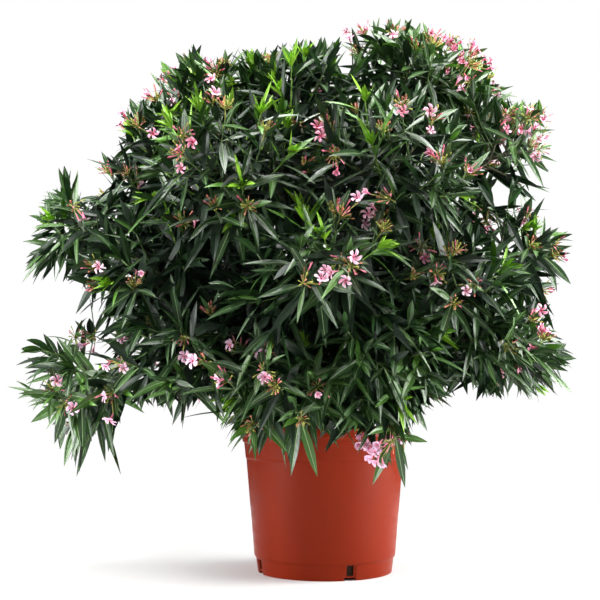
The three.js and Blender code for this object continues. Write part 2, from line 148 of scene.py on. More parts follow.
def in_sky(points):
    """Whether any of the points shows in an open place."""
    seen = to_image(np.atleast_2d(points))[:, None, :2]
    return bool(((((seen - SKY_PLACES[:, :2]) / SKY_PLACES[:, 2:]) ** 2).sum(axis=2) < 1).any())


# ---- The frame's driving sizes, as in its source ----
SOIL_TOP = 398 * MM
SOIL_DISH = 8 * MM
SOIL_FLAT_RADIUS = 150 * MM
GAP = 0.3 * MM
STEM_RADIUS, STEM_TIP_RADIUS = 17 * MM, 8 * MM
ROOT_FLARE = 0.45
FLARE_LENGTH = 45 * MM
STEM_RISE = 0.5
BOUGH_RADIUS, BOUGH_TIP_RADIUS = 9 * MM, 6 * MM
BOUGH_SWEEP = 0.42
ENTRY_SHARE = 0.8
CELL_MARGIN = 2 * MM
MASS_STEM_RADIUS = 7 * MM
SHOOTS = 8
SHOOT_REACH = 0.5
SHOOT_JITTER = 0.12
BACKWARD_LIMIT = -0.55
SHOOT_RADIUS = 4 * MM

# azimuth in degrees, distance of the foot from the pot's axis, and leader mass
STEMS = {
    "left": (180, 78, "left_upper"),
    "front_left": (232, 78, "front_upper_left"),
    "front": (282, 78, "front_middle"),
    "front_right": (326, 80, "front_upper_right"),
    "right": (14, 78, "right_upper"),
    "back_right": (64, 78, "back_right"),
    "back_left": (124, 78, "back_left"),
    "middle": (90, 6, "top_middle"),
}

# name, place [azimuth, out, height], half sizes [across, up], stem, and fork along it
MASS_ROWS = [
    ("top_left", [172, 365, 1420], [280, 245], "middle", 0.58),
    ("top_middle", [225, 120, 1430], [235, 230], "middle", None),
    ("top_right", [354, 275, 1490], [265, 255], "middle", 0.7),
    ("top_back", [88, 360, 1350], [270, 240], "middle", 0.5),
    ("right_shoulder", [22, 480, 1440], [230, 215], "back_right", 0.62),
    ("right_upper", [354, 550, 1275], [250, 215], "right", None),
    ("right_middle", [350, 560, 940], [265, 240], "right", 0.5),
    ("right_low", [2, 540, 655], [265, 150], "right", 0.28),
    ("left_upper", [182, 530, 1235], [255, 235], "left", None),
    ("left_middle", [186, 720, 1025], [270, 235], "left", 0.52),
    ("left_low", [193, 715, 530], [290, 255], "left", 0.25),
    ("front_upper_left", [238, 480, 1105], [280, 250], "front_left", None),
    ("front_upper_right", [292, 450, 1110], [270, 250], "front_right", None),
    ("front_middle", [268, 500, 820], [265, 225], "front", None),
    ("front_right_middle", [312, 480, 800], [240, 215], "front_right", 0.45),
    ("inner_left", [208, 520, 860], [240, 215], "front_left", 0.5),
    ("front_low_left", [224, 500, 600], [255, 205], "front_left", 0.26),
    ("front_low", [252, 450, 500], [250, 215], "front", 0.3),
    ("front_low_middle", [284, 440, 640], [240, 200], "front", 0.4),
    ("right_low_front", [332, 510, 615], [240, 190], "front_right", 0.3),
    ("front_low_right", [302, 425, 475], [235, 200], "front_right", 0.2),
    ("back_right", [52, 540, 1090], [265, 235], "back_right", None),
    ("back_low_right", [48, 520, 690], [260, 200], "back_right", 0.3),
    ("back_left", [136, 570, 1080], [270, 240], "back_left", None),
    ("back_low_left", [142, 550, 690], [265, 200], "back_left", 0.3),
    ("back_middle", [94, 540, 880], [265, 225], "back_left", 0.52),
]

# ---- How the shoots are carried on ----
FORM_SWELL = 1.05  # how far leaf tips may pass the rounded form of a mass
TWIG_FORM, FILL_FORM = 0.94, 0.97  # shares of that form that outer and inner twigs end in
CORE_TWIGS, CORE_LEAVES = 0.82, 0.92  # how far out twigs and leaves may fill the room between masses
CELL_OVERLAP = 0.075  # how far a twig may end in the next mass's cell
BOX_SWELL = 0.021  # how far anything may pass the frame's own box
SIDE_SHOOTS = (0.34, 0.5, 0.66, 0.82)  # where side shoots leave a shoot
SIDE_REACH = 0.80  # share of the mass's half size where a side shoot ends
SIDE_SHORTEST, SIDE_LONGEST = 0.055, 0.21
SIDE_OPEN, END_OPEN = 48, 12  # degrees between a side shoot or the last one and their parent
TWIG_TRIES = (1, 0.75, 0.5)  # shares of its length that a twig is tried at
SIDE_RADIUS, SIDE_TIP_RADIUS = 2.7 * MM, 1.7 * MM
FILL_FROM = 0.28  # share of a limb where its small twigs begin
FILL_STEP = 0.050
FILL_LENGTH = 0.15
FILL_DEPTH = 26  # pixels from the tip of such a twig to the crown's outline
TIP_DEPTH = (7, 23)  # pixels from a twig's tip to the crown's outline
TIP_STRAY, MOST_STRAY = 3.0, 10  # pixels that leaf tips pass the outline, on average and at most
WHORL_STEP = 32 * MM
BARE_SHARE = 0.18  # share of a side shoot that has no leaves
INNER_BARE_SHARE = 0.3
LEAF_LENGTH = 0.150
LEAF_WIDTH = 0.0215
INNER_LEAF_WIDTH = 0.0250
TIP_LEAF_LENGTH = 0.110
EDGE_LONGEST = 0.215  # the longest bold leaf at the crown's edge
EDGE_DROOP = 0.05
LOW_LONGER = 0.18  # how much longer leaves are at the foot of the crown
YOUNG_LENGTH = 0.072
YOUNG_WIDTH = 0.0120
YOUNG_TUFT = 8  # small leaves at the tip of a young shoot
WHORL = 3
STEM_SLIMMER = 0.8  # the twig that stands for a mass's stem, against the frame's
LOW_MASS, MASS_RISE = 0.55, 0.7  # height of a mass's centre that counts as low, and from there to high
LEAST_LIGHT = -0.15  # below low, side shoots turn down by this at most
LIGHT_PULL = 0.42  # how much shoots high in the crown turn up
HANG_LOW, HANG_HIGH = 0.95, 0.0  # how much older leaves hang, low and high in the crown
HANG_FROM, HANG_RISE = 0.62, 0.80  # the height that counts as low, and from there to high
POT_CLEAR_RADIUS = 0.266
POT_CLEAR_HEIGHT = 0.437


def unit(v):
    v = np.asarray(v, float)
    return v / np.maximum(np.linalg.norm(v, axis=-1, keepdims=True), 1e-12)


def polar(azimuth, out, height):
    a = math.radians(azimuth)
    return np.array([out * math.cos(a), out * math.sin(a), height])


def seeded(seed):
    """The frame's own generator of numbers from 0 to 1."""
    state = [seed & 0xFFFFFFFF]

    def draw():
        state[0] = (state[0] + 0x6D2B79F5) & 0xFFFFFFFF
        t = state[0]
        t = ((t ^ (t >> 15)) * (t | 1)) & 0xFFFFFFFF
        t ^= (t + ((t ^ (t >> 7)) * (t | 61) & 0xFFFFFFFF)) & 0xFFFFFFFF
        return ((t ^ (t >> 14)) & 0xFFFFFFFF) / 4294967296

    return draw


class Arc:
    """A quadratic curve that is read by the share of its length."""

    def __init__(self, start, bend, end, samples=60):
        t = np.linspace(0, 1, samples)[:, None]
        self.points = (1 - t) ** 2 * start + 2 * t * (1 - t) * bend + t * t * end
        steps = np.linalg.norm(np.diff(self.points, axis=0), axis=1)
        along = np.concatenate([[0], np.cumsum(steps)])
        self.length = along[-1]
        self.shares = along / along[-1]

    def at(self, share):
        return np.stack([np.interp(share, self.shares, axis) for axis in self.points.T], axis=-1)

    def way(self, share):
        return unit(self.at(min(share + 0.02, 1)) - self.at(max(share - 0.02, 0)))


class Mass:
    def __init__(self, row):
        self.name, place, size, self.stem, self.fork = row
        azimuth, out, height = place
        self.azimuth = azimuth
        self.centre = polar(azimuth, out * MM, height * MM)
        self.spread, self.rise = size[0] * MM, size[1] * MM
        self.axes = np.array([self.spread, self.spread, self.rise])
        self.weight = ((self.spread + self.rise) / 2) ** 2


MASSES = [Mass(row) for row in MASS_ROWS]
BY_NAME = {mass.name: mass for mass in MASSES}
CENTRES = np.array([mass.centre for mass in MASSES])
AXES = np.array([mass.axes for mass in MASSES])
WEIGHTS = np.array([mass.weight for mass in MASSES])


def in_own_space(points, mass, margin):
    """Whether points are in the mass's cell, by a margin that may be negative."""
    points = np.atleast_2d(points)
    powers = ((points[:, None, :] - CENTRES) ** 2).sum(axis=2) - WEIGHTS
    index = MASSES.index(mass)
    apart = np.linalg.norm(CENTRES - mass.centre, axis=1)
    clear = powers - powers[:, index][:, None] > 2 * margin * apart
    clear[:, index] = True
    return clear.all(axis=1)


CROWN_HEART = np.array([-0.08, 0.0, 1.0])
CROWN_REACH = np.array([0.85, 0.74, 0.72])


def outwardness(points):
    """How far out points are from the heart of the whole crown, about 1 at its outside."""
    return np.linalg.norm((points - CROWN_HEART) / CROWN_REACH, axis=-1)


def in_crown(points, swell, core):
    """Whether points are in the rounded form of any mass, swollen a little, or in the crown's core."""
    points = np.atleast_2d(points)
    scaled = (points[:, None, :] - CENTRES) / (AXES * swell)
    return ((scaled**2).sum(axis=2) < 1).any(axis=1) | (outwardness(points) < core)


def entry_point(mass, start):
    inward = unit(start - mass.centre)
    inward[2] *= mass.rise / mass.spread
    share = ENTRY_SHARE
    while share > 0.1:
        point = mass.centre + inward * mass.spread * share
        if in_own_space(point, mass, MASS_STEM_RADIUS + CELL_MARGIN)[0]:
            break
        share -= 0.02
    return mass.centre + inward * mass.spread * share


def make_limbs():
    """Stems, then boughs: name, curve, radii at foot and tip, flare, and the mass carried."""
    limbs = {}
    for name, (azimuth, foot, leader) in STEMS.items():
        mass = BY_NAME[leader]
        start = polar(azimuth, foot * MM, SOIL_TOP + GAP)
        bend = start + UP * (mass.centre[2] - SOIL_TOP) * STEM_RISE
        curve = Arc(start, bend, entry_point(mass, bend))
        limbs["stem_" + name] = (curve, STEM_RADIUS, STEM_TIP_RADIUS, ROOT_FLARE, mass)
    for mass in MASSES:
        if not mass.fork:
            continue
        stem = limbs["stem_" + mass.stem][0]
        start = stem.at(mass.fork)
        end = entry_point(mass, start)
        bend = start + stem.way(mass.fork) * np.linalg.norm(end - start) * BOUGH_SWEEP
        limbs["bough_" + mass.name] = (Arc(start, bend, end), BOUGH_RADIUS, BOUGH_TIP_RADIUS, 0, mass)
    return limbs


LIMBS = make_limbs()
LIMB_POINTS = np.concatenate([limb[0].points for limb in LIMBS.values()])
LIMB_CLEAR = 14 * MM


def clear_of_limbs(points):
    apart = np.linalg.norm(np.atleast_2d(points)[:, None, :] - LIMB_POINTS, axis=2)
    return apart.min() > LIMB_CLEAR


def clear_of_pot(points):
    points = np.atleast_2d(points)
    outside = np.hypot(points[:, 0], points[:, 1]) > POT_CLEAR_RADIUS
    return outside | (points[:, 2] > POT_CLEAR_HEIGHT)


BOX_LOW = np.array(cad_box[0]) - BOX_SWELL
BOX_HIGH = np.array(cad_box[1]) + BOX_SWELL


def in_box(points):
    """Whether all the points are in the frame's box, grown a little."""
    points = np.atleast_2d(points)
    return bool(((points > BOX_LOW) & (points < BOX_HIGH)).all())


# ---- Shoots ----
class Shoot:
    """One twig: its curve, its radii, its mass, and whether it ends in the open."""

    def __init__(self, curve, radius, tip_radius, mass, outer, fill=False):
        self.curve, self.radius, self.tip_radius = curve, radius, tip_radius
        self.mass, self.outer, self.fill = mass, outer, fill
        self.tone = None
        self.flowers = []
        self.young = False


def side_directions(along):
    helper = UP if abs(along[2]) < 0.9 else np.array([1.0, 0, 0])
    first = unit(np.cross(along, helper))
    return first, np.cross(along, first)


def leaning(along, open_degrees, turn):
    """A direction that leans from `along`, and the direction its upper side faces."""
    first, second = side_directions(along)
    outward = first * math.cos(turn) + second * math.sin(turn)
    lean = math.radians(open_degrees)
    direction = along * math.cos(lean) + outward * math.sin(lean)
    face = along * math.sin(lean) - outward * math.cos(lean)
    return direction, face


def reach_of(mass, start, direction, share):
    """How far from start along direction the mass's rounded form ends, at a share of its size."""
    a = direction / (mass.axes * share)
    b = (start - mass.centre) / (mass.axes * share)
    aa, ab, bb = a @ a, a @ b, b @ b - 1
    root = ab * ab - aa * bb
    return (-ab + math.sqrt(root)) / aa if root > 0 else 0


def shoots_of(limb):
    """The frame's shoots of one mass, and the side shoots that they carry."""
    curve, _, _, _, mass = limb
    draw = seeded(MASSES.index(mass) + 1)
    tip, along = curve.at(1), curve.way(1)
    root = tip + along * GAP
    bend = root + along * np.linalg.norm(tip - mass.centre) * 0.5
    stem = Arc(root, bend, mass.centre)
    shoots = [Shoot(stem, MASS_STEM_RADIUS * STEM_SLIMMER, SHOOT_RADIUS, mass, False)]
    high = np.clip((mass.centre[2] - LOW_MASS) / MASS_RISE, LEAST_LIGHT, 1)
    stem_way = stem.way(1)
    for i in range(SHOOTS):
        level = 1 - 2 * (i + 0.5) / SHOOTS
        turn = GOLDEN_ANGLE * i + mass.azimuth
        flat = math.sqrt(1 - level * level)
        reach = SHOOT_REACH * (1 + SHOOT_JITTER * (draw() - 0.5))
        spot = np.array([flat * math.cos(turn), flat * math.sin(turn), level])
        end = mass.centre + mass.axes * reach * spot
        draw(), draw(), draw()
        forward = unit(end - mass.centre) @ stem_way
        if forward < BACKWARD_LIMIT:
            continue
        start = stem.at(0.65 + 0.3 * forward * (1 if forward > 0 else 0.6))
        if not in_own_space(end, mass, CELL_MARGIN + SHOOT_RADIUS)[0]:
            continue
        way = unit(end - start)
        middle = (start + end) / 2 + (stem_way * 0.10 - way * 0.02) * np.linalg.norm(end - start)
        parent = Arc(start, middle, end)
        if not clear_of_limbs(parent.at(np.linspace(0.3, 1, 8))):
            continue
        if depth_in_outline(end)[0] < TIP_DEPTH[0] or in_sky(end):
            continue
        shoots.append(Shoot(parent, SHOOT_RADIUS, SIDE_RADIUS, mass, False))
        shoots.extend(side_shoots(parent, mass, i, high))
    return shoots


def side_shoots(parent, mass, number, high):
    grown = []
    places = [(share, SIDE_OPEN) for share in SIDE_SHOOTS] + [(1.0, END_OPEN)]
    for k, (share, open_degrees) in enumerate(places):
        start = parent.at(share)
        turn = GOLDEN_ANGLE * (5 * number + k) + rng.uniform(-0.4, 0.4)
        open_now = open_degrees * rng.uniform(0.8, 1.25)
        direction, _ = leaning(parent.way(share), open_now, turn)
        outward = unit((start - mass.centre) / mass.axes**2 + direction * 3)
        aim = unit(direction + 0.35 * outward + UP * LIGHT_PULL * high)
        reach = reach_of(mass, start, aim, SIDE_REACH * rng.uniform(0.9, 1.06))
        length = float(np.clip(reach, SIDE_SHORTEST, SIDE_LONGEST))
        twig = open_twig(start, direction + 0.2 * outward, aim, length, mass, high)
        if twig:
            grown.append(twig)
    return grown


def open_twig(start, direction, aim, length, mass, high, fill=False):
    """A twig that stays in the crown and its outline, shortened until it does, or None."""
    least_depth = rng.uniform(*TIP_DEPTH)
    for shorter in TWIG_TRIES:
        size = length * shorter
        tip = start + aim * size + UP * size * (0.12 * high - 0.06 * (1 - high))
        curve = Arc(start, start + unit(direction) * size * 0.5, tip, 24)
        if size < SIDE_SHORTEST * 0.8:
            return None
        if not in_own_space(tip, mass, -CELL_OVERLAP)[0] or not in_crown(tip, TWIG_FORM, CORE_TWIGS)[0]:
            continue
        if depth_in_outline(tip)[0] < least_depth or in_sky(curve.at(np.linspace(0.3, 1, 4))):
            continue
        if clear_of_limbs(curve.at(np.linspace(0.2, 1, 6))) and clear_of_pot(tip)[0]:
            return Shoot(curve, SIDE_RADIUS, SIDE_TIP_RADIUS, mass, True, fill)
    return None


def fill_twigs(limb):
    """Small leafy twigs along a limb, in the shade of the crown."""
    curve, _, _, _, mass = limb
    grown = []
    for k, place in enumerate(np.arange(FILL_FROM * curve.length, 0.97 * curve.length, FILL_STEP)):
        share = place / curve.length
        turn = GOLDEN_ANGLE * k + rng.uniform(-0.4, 0.4)
        direction, _ = leaning(curve.way(share), 56 * rng.uniform(0.8, 1.2), turn)
        start = curve.at(share)
        tip = start + direction * FILL_LENGTH * rng.uniform(0.7, 1.2)
        inside = in_crown(tip, FILL_FORM, CORE_TWIGS)[0]
        if not inside or not clear_of_pot(tip)[0] or depth_in_outline(tip)[0] < FILL_DEPTH:
            continue
        arc = Arc(start, (start + tip) / 2 + UP * 0.01, tip, 24)
        if not in_sky(arc.at(np.linspace(0.3, 1, 4))):
            grown.append(Shoot(arc, SIDE_RADIUS, SIDE_TIP_RADIUS, mass, True, True))
    return grown


SHOOT_LIST = []
for limb in LIMBS.values():
    SHOOT_LIST.extend(shoots_of(limb))
    SHOOT_LIST.extend(fill_twigs(limb))
OUTER = [shoot for shoot in SHOOT_LIST if shoot.outer and not shoot.fill]

# ---- Where blossom and young growth show, in pixels of the 600 x 600 image ----
DEEP_PINK_AT = [
    (346, 32), (349, 38), (365, 29), (444, 38), (451, 41), (452, 49), (461, 42), (472, 47), (478, 50),
    (461, 57), (464, 62), (468, 64), (447, 71), (466, 76), (485, 59), (490, 63), (491, 68), (431, 34),
    (316, 90), (321, 136), (317, 127), (402, 111), (505, 121), (506, 129), (503, 141), (520, 129),
    (432, 154), (337, 170), (500, 161), (470, 171), (564, 256), (541, 310), (545, 330), (540, 327),
    (124, 115), (149, 95), (153, 134), (178, 149), (193, 142), (181, 168), (532, 347), (519, 368),
    (211, 79), (111, 170), (500, 371), (425, 258), (486, 228),
]
PALE_PINK_AT = [
    (393, 35), (458, 81), (462, 88), (430, 111), (468, 116), (472, 127), (528, 109), (529, 131),
    (535, 127), (538, 139), (535, 148), (535, 157), (546, 137), (543, 120), (491, 162), (430, 130),
    (363, 191), (373, 207), (365, 224), (368, 214), (359, 196), (321, 279), (332, 272), (325, 270),
    (346, 280), (353, 257), (466, 291), (436, 281), (317, 393), (172, 102), (214, 93), (568, 261),
    (140, 186), (197, 187), (195, 222), (84, 218), (99, 267), (143, 273), (523, 221),
]
LILAC_PINK_AT = [
    (122, 339), (84, 345), (93, 351), (107, 366), (124, 368), (105, 397), (110, 426), (73, 408),
    (75, 426), (57, 381), (193, 361), (230, 345), (220, 380), (260, 353), (265, 377), (361, 435),
    (359, 444), (363, 452), (368, 458), (379, 443), (375, 452), (377, 461), (382, 465), (391, 455),
    (397, 447), (403, 452), (388, 461), (371, 464), (366, 444), (372, 455), (384, 456), (394, 462),
    (184, 356),
]
BUDS_AT = [
    (447, 73), (313, 124), (344, 132), (235, 149), (272, 151), (230, 115), (266, 71), (249, 201),
    (275, 390), (420, 262), (430, 268), (350, 128), (300, 190), (160, 330), (395, 200), (515, 255),
    (421, 65), (500, 127), (387, 132), (227, 117), (335, 188), (447, 277), (435, 295), (215, 320),
    (285, 375), (287, 425), (255, 410), (120, 162), (135, 185), (90, 320), (202, 178), (495, 360),
    (210, 59), (430, 58), (476, 66), (488, 76), (512, 130), (520, 145), (330, 128), (355, 210),
]
YOUNG_AT = [
    (265, 62), (283, 62), (290, 110), (405, 55), (360, 140), (350, 180), (178, 140), (215, 215),
    (240, 120), (205, 130), (440, 55), (300, 75), (330, 110), (300, 205), (330, 245), (260, 190),
    (150, 190), (230, 240), (180, 200), (330, 215), (400, 160), (530, 240), (60, 220), (90, 320),
    (300, 350), (260, 400), (395, 420), (430, 330), (500, 260), (380, 240), (440, 225), (470, 205),
    (345, 65), (215, 150), (375, 75), (245, 85), (275, 95), (190, 110), (465, 80),
    (272, 90), (300, 55), (287, 102), (295, 115), (220, 127), (250, 125), (272, 165), (362, 185),
    (357, 207), (510, 132), (525, 220), (345, 310), (300, 420), (165, 235), (235, 70), (200, 90),
    (310, 100), (255, 145), (320, 165), (160, 110), (175, 85), (215, 100), (255, 110), (228, 80),
    (200, 150), (270, 140), (130, 140), (185, 120), (150, 165),
]
# root and tip of each bold leaf that makes a spike of the outline
EDGE_LEAVES_AT = [
    ((61, 396), (6, 385)), ((60, 358), (24, 367)), ((52, 358), (30, 378)), ((45, 354), (21, 349)),
    ((66, 400), (31, 422)), ((62, 405), (55, 442)), ((72, 412), (60, 448)), ((80, 430), (64, 465)),
    ((92, 425), (77, 476)), ((100, 420), (105, 460)), ((102, 420), (123, 475)), ((60, 350), (43, 332)),
    ((63, 350), (42, 350)), ((127, 325), (118, 308)), ((150, 392), (163, 407)), ((140, 390), (141, 409)),
    ((191, 395), (173, 424)), ((125, 390), (123, 406)), ((45, 268), (21, 281)), ((72, 190), (65, 163)),
    ((115, 170), (101, 150)), ((135, 118), (129, 97)), ((168, 85), (160, 59)), ((158, 88), (150, 70)),
    ((182, 72), (175, 51)), ((203, 66), (193, 42)), ((222, 70), (226, 47)), ((320, 58), (325, 35)),
    ((312, 60), (310, 38)), ((285, 62), (283, 44)), ((262, 65), (257, 47)), ((405, 45), (405, 18)),
    ((430, 45), (428, 28)), ((530, 158), (557, 161)), ((510, 180), (550, 191)), ((528, 160), (548, 172)),
    ((512, 182), (536, 200)), ((552, 262), (571, 283)), ((546, 268), (557, 291)), ((555, 355), (577, 358)),
    ((550, 378), (572, 392)), ((465, 375), (446, 393)), ((415, 405), (427, 430)), ((410, 435), (428, 441)),
    ((398, 468), (405, 486)), ((380, 465), (372, 483)), ((310, 440), (317, 475)), ((292, 445), (291, 474)),
]
SAME_HEAD = 15  # pixels within which flowers share a head
MOST_IN_HEAD = 6
FLOWER_REACH = 0.085  # how far from its shoot's tip a flower may open
HEAD_ROOM = 0.058  # how far a head at the back reaches round its shoot's tip
FLOWER_CLEAR = 5.0  # pixels round a flower that nearer leaves keep clear of
DEPTH_WEIGHT = 8.0  # how much a tip further from the camera counts against it, for each metre
BACK_BLOSSOM_SHARE = 0.13
BACK_BUD_SHARE = 0.08
BACK_YOUNG_SHARE = 0.14
FRONT_LIMIT = 0.0  # heads in front of this Y are placed by the lists above


def nearest_tip(shoots, pixel, tone=None):
    """The shoot whose tip shows nearest a pixel, in front of the others there."""
    seen = to_image([shoot.curve.at(1) for shoot in shoots])
    away = np.hypot(seen[:, 0] - pixel[0], seen[:, 1] - pixel[1])
    cost = away / 5 + (seen[:, 2] - seen[:, 2].min()) * DEPTH_WEIGHT
    for k, shoot in enumerate(shoots):
        if len(shoot.flowers) >= MOST_IN_HEAD or (shoot.tone and shoot.tone != tone):
            cost[k] += 50
        elif shoot.flowers and away[k] < SAME_HEAD:
            cost[k] -= 4
    best = int(np.argmin(cost))
    return shoots[best], seen[best, 2]


def deal_blossom():
    """Deals flowers, heads of buds and young growth to the shoots' tips."""
    for tone, places in (("deep", DEEP_PINK_AT), ("pale", PALE_PINK_AT), ("lilac", LILAC_PINK_AT)):
        for pixel in places:
            shoot, depth = nearest_tip(OUTER, pixel, tone)
            tip = shoot.curve.at(1)
            wanted = from_image(*pixel, depth - rng.uniform(0.03, 0.055))
            offset = wanted - tip
            size = np.linalg.norm(offset)
            shoot.tone = tone
            shoot.flowers.append(tip + offset * min(1, FLOWER_REACH / size))
    for pixel in BUDS_AT:
        shoot, _ = nearest_tip([shoot for shoot in OUTER if not shoot.tone], pixel)
        shoot.tone = "bud"
    for pixel in YOUNG_AT:
        free = [shoot for shoot in OUTER if not shoot.tone and not shoot.young]
        nearest_tip(free, pixel)[0].young = True
    for shoot in OUTER:
        tip = shoot.curve.at(1)
        if tip[1] < FRONT_LIMIT or shoot.tone or not in_box([tip - HEAD_ROOM, tip + HEAD_ROOM]):
            continue
        chance = rng.uniform()
        if chance < BACK_BLOSSOM_SHARE:
            shoot.tone = ("deep", "pale", "lilac")[rng.randint(3)]
        elif chance < BACK_BLOSSOM_SHARE + BACK_BUD_SHARE:
            shoot.tone = "bud"
        elif chance < BACK_BLOSSOM_SHARE + BACK_BUD_SHARE + BACK_YOUNG_SHARE:
            shoot.young = True


deal_blossom()
FLOWERS_SEEN = to_image([place for shoot in OUTER for place in shoot.flowers])


def hides_flower(points):
    """Whether a leaf through the points would stand before a flower that the camera sees."""
    seen = to_image(points)[:, None]
    away = np.hypot(seen[..., 0] - FLOWERS_SEEN[:, 0], seen[..., 1] - FLOWERS_SEEN[:, 1])
    return bool(((away < FLOWER_CLEAR) & (seen[..., 2] < FLOWERS_SEEN[:, 2] + 0.01)).any())


# ---- Mesh helpers ----
MOST_TRIANGLES = 190000


def mesh_object(name, points, triangles, material, smooth=True, uv=None):
    mesh = bpy.data.meshes.new(name)
    points = np.ascontiguousarray(points, dtype=np.float32)
    triangles = np.ascontiguousarray(triangles, dtype=np.int32)
    mesh.vertices.add(len(points))
    mesh.vertices.foreach_set("co", points.ravel())
    mesh.loops.add(triangles.size)
    mesh.loops.foreach_set("vertex_index", triangles.ravel())
    mesh.polygons.add(len(triangles))
    mesh.polygons.foreach_set("loop_start", np.arange(0, triangles.size, 3, dtype=np.int32))
    mesh.polygons.foreach_set("loop_total", np.full(len(triangles), 3, dtype=np.int32))
    mesh.update(calc_edges=True)
    mesh.polygons.foreach_set("use_smooth", np.full(len(triangles), smooth))
    if uv is not None:
        layer = mesh.uv_layers.new(name="leaf")
        layer.data.foreach_set("uv", np.asarray(uv, np.float32)[triangles.ravel()].ravel())
    mesh.validate()
    mesh.materials.append(material)
    piece = put_in_scene(name, mesh)
    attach(piece, "root")
    return piece


def grid_faces(rows, columns, first=0, closed=False):
    """Triangles of a grid of points; a closed grid is a tube of rings."""
    triangles = []
    for i in range(rows - 1):
        row = first + i * columns
        for j in range(columns if closed else columns - 1):
            a, b = row + j, row + (j + 1) % columns
            triangles += [(a, b, b + columns), (a, b + columns, a + columns)]
    return triangles


def circle(radius, height, sides):
    turns = np.arange(sides) * 2 * math.pi / sides
    return np.stack([radius * np.cos(turns), radius * np.sin(turns), np.full(sides, height)], axis=1)


def joined(parts):
    """Joins (points, triangles) pairs into one pair."""
    starts = np.cumsum([0] + [len(points) for points, _ in parts])
    triangles = [some + start for (_, some), start in zip(parts, starts)]
    return np.concatenate([points for points, _ in parts]), np.concatenate(triangles)


def tube(path, radii, sides):
    """A tube along a path of points, closed by a point at each end."""
    ways = unit(np.gradient(path, axis=0))
    side = side_directions(ways[0])[0]
    angles = np.arange(sides) * 2 * math.pi / sides
    rings = []
    for point, way, radius in zip(path, ways, radii):
        side = unit(side - way * (side @ way))
        ring = np.outer(np.cos(angles), side) + np.outer(np.sin(angles), np.cross(way, side))
        rings.append(point + radius * ring)
    points = np.concatenate(rings + [path[:1], path[-1:]])
    triangles = grid_faces(len(path), sides, closed=True)
    last = (len(path) - 1) * sides
    for j in range(sides):
        k = (j + 1) % sides
        triangles += [(len(points) - 2, k, j), (len(points) - 1, last + j, last + k)]
    return points, np.array(triangles)


def pieces_of(name, entries, material):
    """Joins entries of (mass name, points, triangles, uv) into pieces under the triangle limit."""
    batches, count = [[]], 0
    for entry in entries:
        if count + len(entry[2]) > MOST_TRIANGLES:
            batches.append([])
            count = 0
        batches[-1].append(entry)
        count += len(entry[2])
    for number, batch in enumerate(batches, 1):
        points, triangles = joined([entry[1:3] for entry in batch])
        uv = np.concatenate([entry[3] for entry in batch]) if batch[0][3] is not None else None
        piece = mesh_object(f"{name}_{number}", points, triangles, material, uv=uv)
        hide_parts(*sorted({"foliage_" + entry[0] for entry in batch}))


# ---- Finishes ----
class Finish:
    """A material that is built up from noise, colour and relief."""

    def __init__(self, name, roughness, specular=0.5):
        self.material = bpy.data.materials.new(name)
        self.material.use_nodes = True
        self.nodes = self.material.node_tree.nodes
        self.link = self.material.node_tree.links.new
        self.shader = self.nodes["Principled BSDF"]
        self.shader.inputs["Roughness"].default_value = roughness
        self.shader.inputs["Specular IOR Level"].default_value = specular

    def add(self, kind, **values):
        """A node of a kind, with values for its inputs."""
        node = self.nodes.new("ShaderNode" + kind)
        for name, value in values.items():
            node.inputs[name].default_value = value
        return node

    def noise(self, scale, detail=4, stretch=(1, 1, 1)):
        """Noise over the piece's own coordinates."""
        mapping = self.add("Mapping", Scale=stretch)
        texture = self.add("TexNoise", Scale=scale, Detail=detail)
        self.link(self.add("TexCoord").outputs["Object"], mapping.inputs["Vector"])
        self.link(mapping.outputs["Vector"], texture.inputs["Vector"])
        return texture.outputs["Fac"]

    def paint(self, source, low, high, dark, light, socket="Base Color"):
        """Feeds a socket with a dark colour where a value is low and a light one where it is high."""
        ramp = self.add("ValToRGB")
        self.link(source, ramp.inputs["Fac"])
        for k, (place, color) in enumerate(((low, dark), (high, light))):
            ramp.color_ramp.elements[k].position = place
            ramp.color_ramp.elements[k].color = (*color, 1)
        self.link(ramp.outputs["Color"], self.shader.inputs[socket])

    def emboss(self, *layers):
        """Relief from layers of (source, strength, distance), each over the one before."""
        under = None
        for source, strength, distance in layers:
            bump = self.add("Bump", Strength=strength, Distance=distance)
            self.link(source, bump.inputs["Height"])
            if under is not None:
                self.link(under, bump.inputs["Normal"])
            under = bump.outputs["Normal"]
        self.link(under, self.shader.inputs["Normal"])


def plain_material(name):
    """Two tones mixed by noise, with a fine relief."""
    dark, light, roughness, scale, relief, *specular = PLAIN_LOOKS[name]
    finish = Finish(name, roughness, *specular)
    finish.paint(finish.noise(scale, 5), 0.3, 0.7, dark, light)
    finish.emboss((finish.noise(scale * 6), 0.3, relief))
    return finish.material


VEINS = 46  # side veins along a leaf


def leaf_material(tone):
    """Patchy green, with slanting veins and a fine grain."""
    dark, light, roughness, coat, specular = LEAF_LOOKS[tone]
    finish = Finish("leaf_" + tone, roughness, specular)
    finish.shader.inputs["Coat Weight"].default_value = coat
    finish.shader.inputs["Coat Roughness"].default_value = 0.28
    finish.paint(finish.noise(9, 3), 0.32, 0.68, dark, light)
    blade = finish.add("UVMap")
    blade.uv_map = "leaf"
    slant = finish.add("Mapping", Scale=(VEINS, 6, 1))
    veins = finish.add("TexWave", Scale=0.31, Distortion=0.4)
    veins.bands_direction = "DIAGONAL"
    finish.link(blade.outputs["UV"], slant.inputs["Vector"])
    finish.link(slant.outputs["Vector"], veins.inputs["Vector"])
    finish.emboss((veins.outputs["Fac"], 0.16, 0.0006), (finish.noise(900, 2), 0.12, 0.0003))
    return finish.material


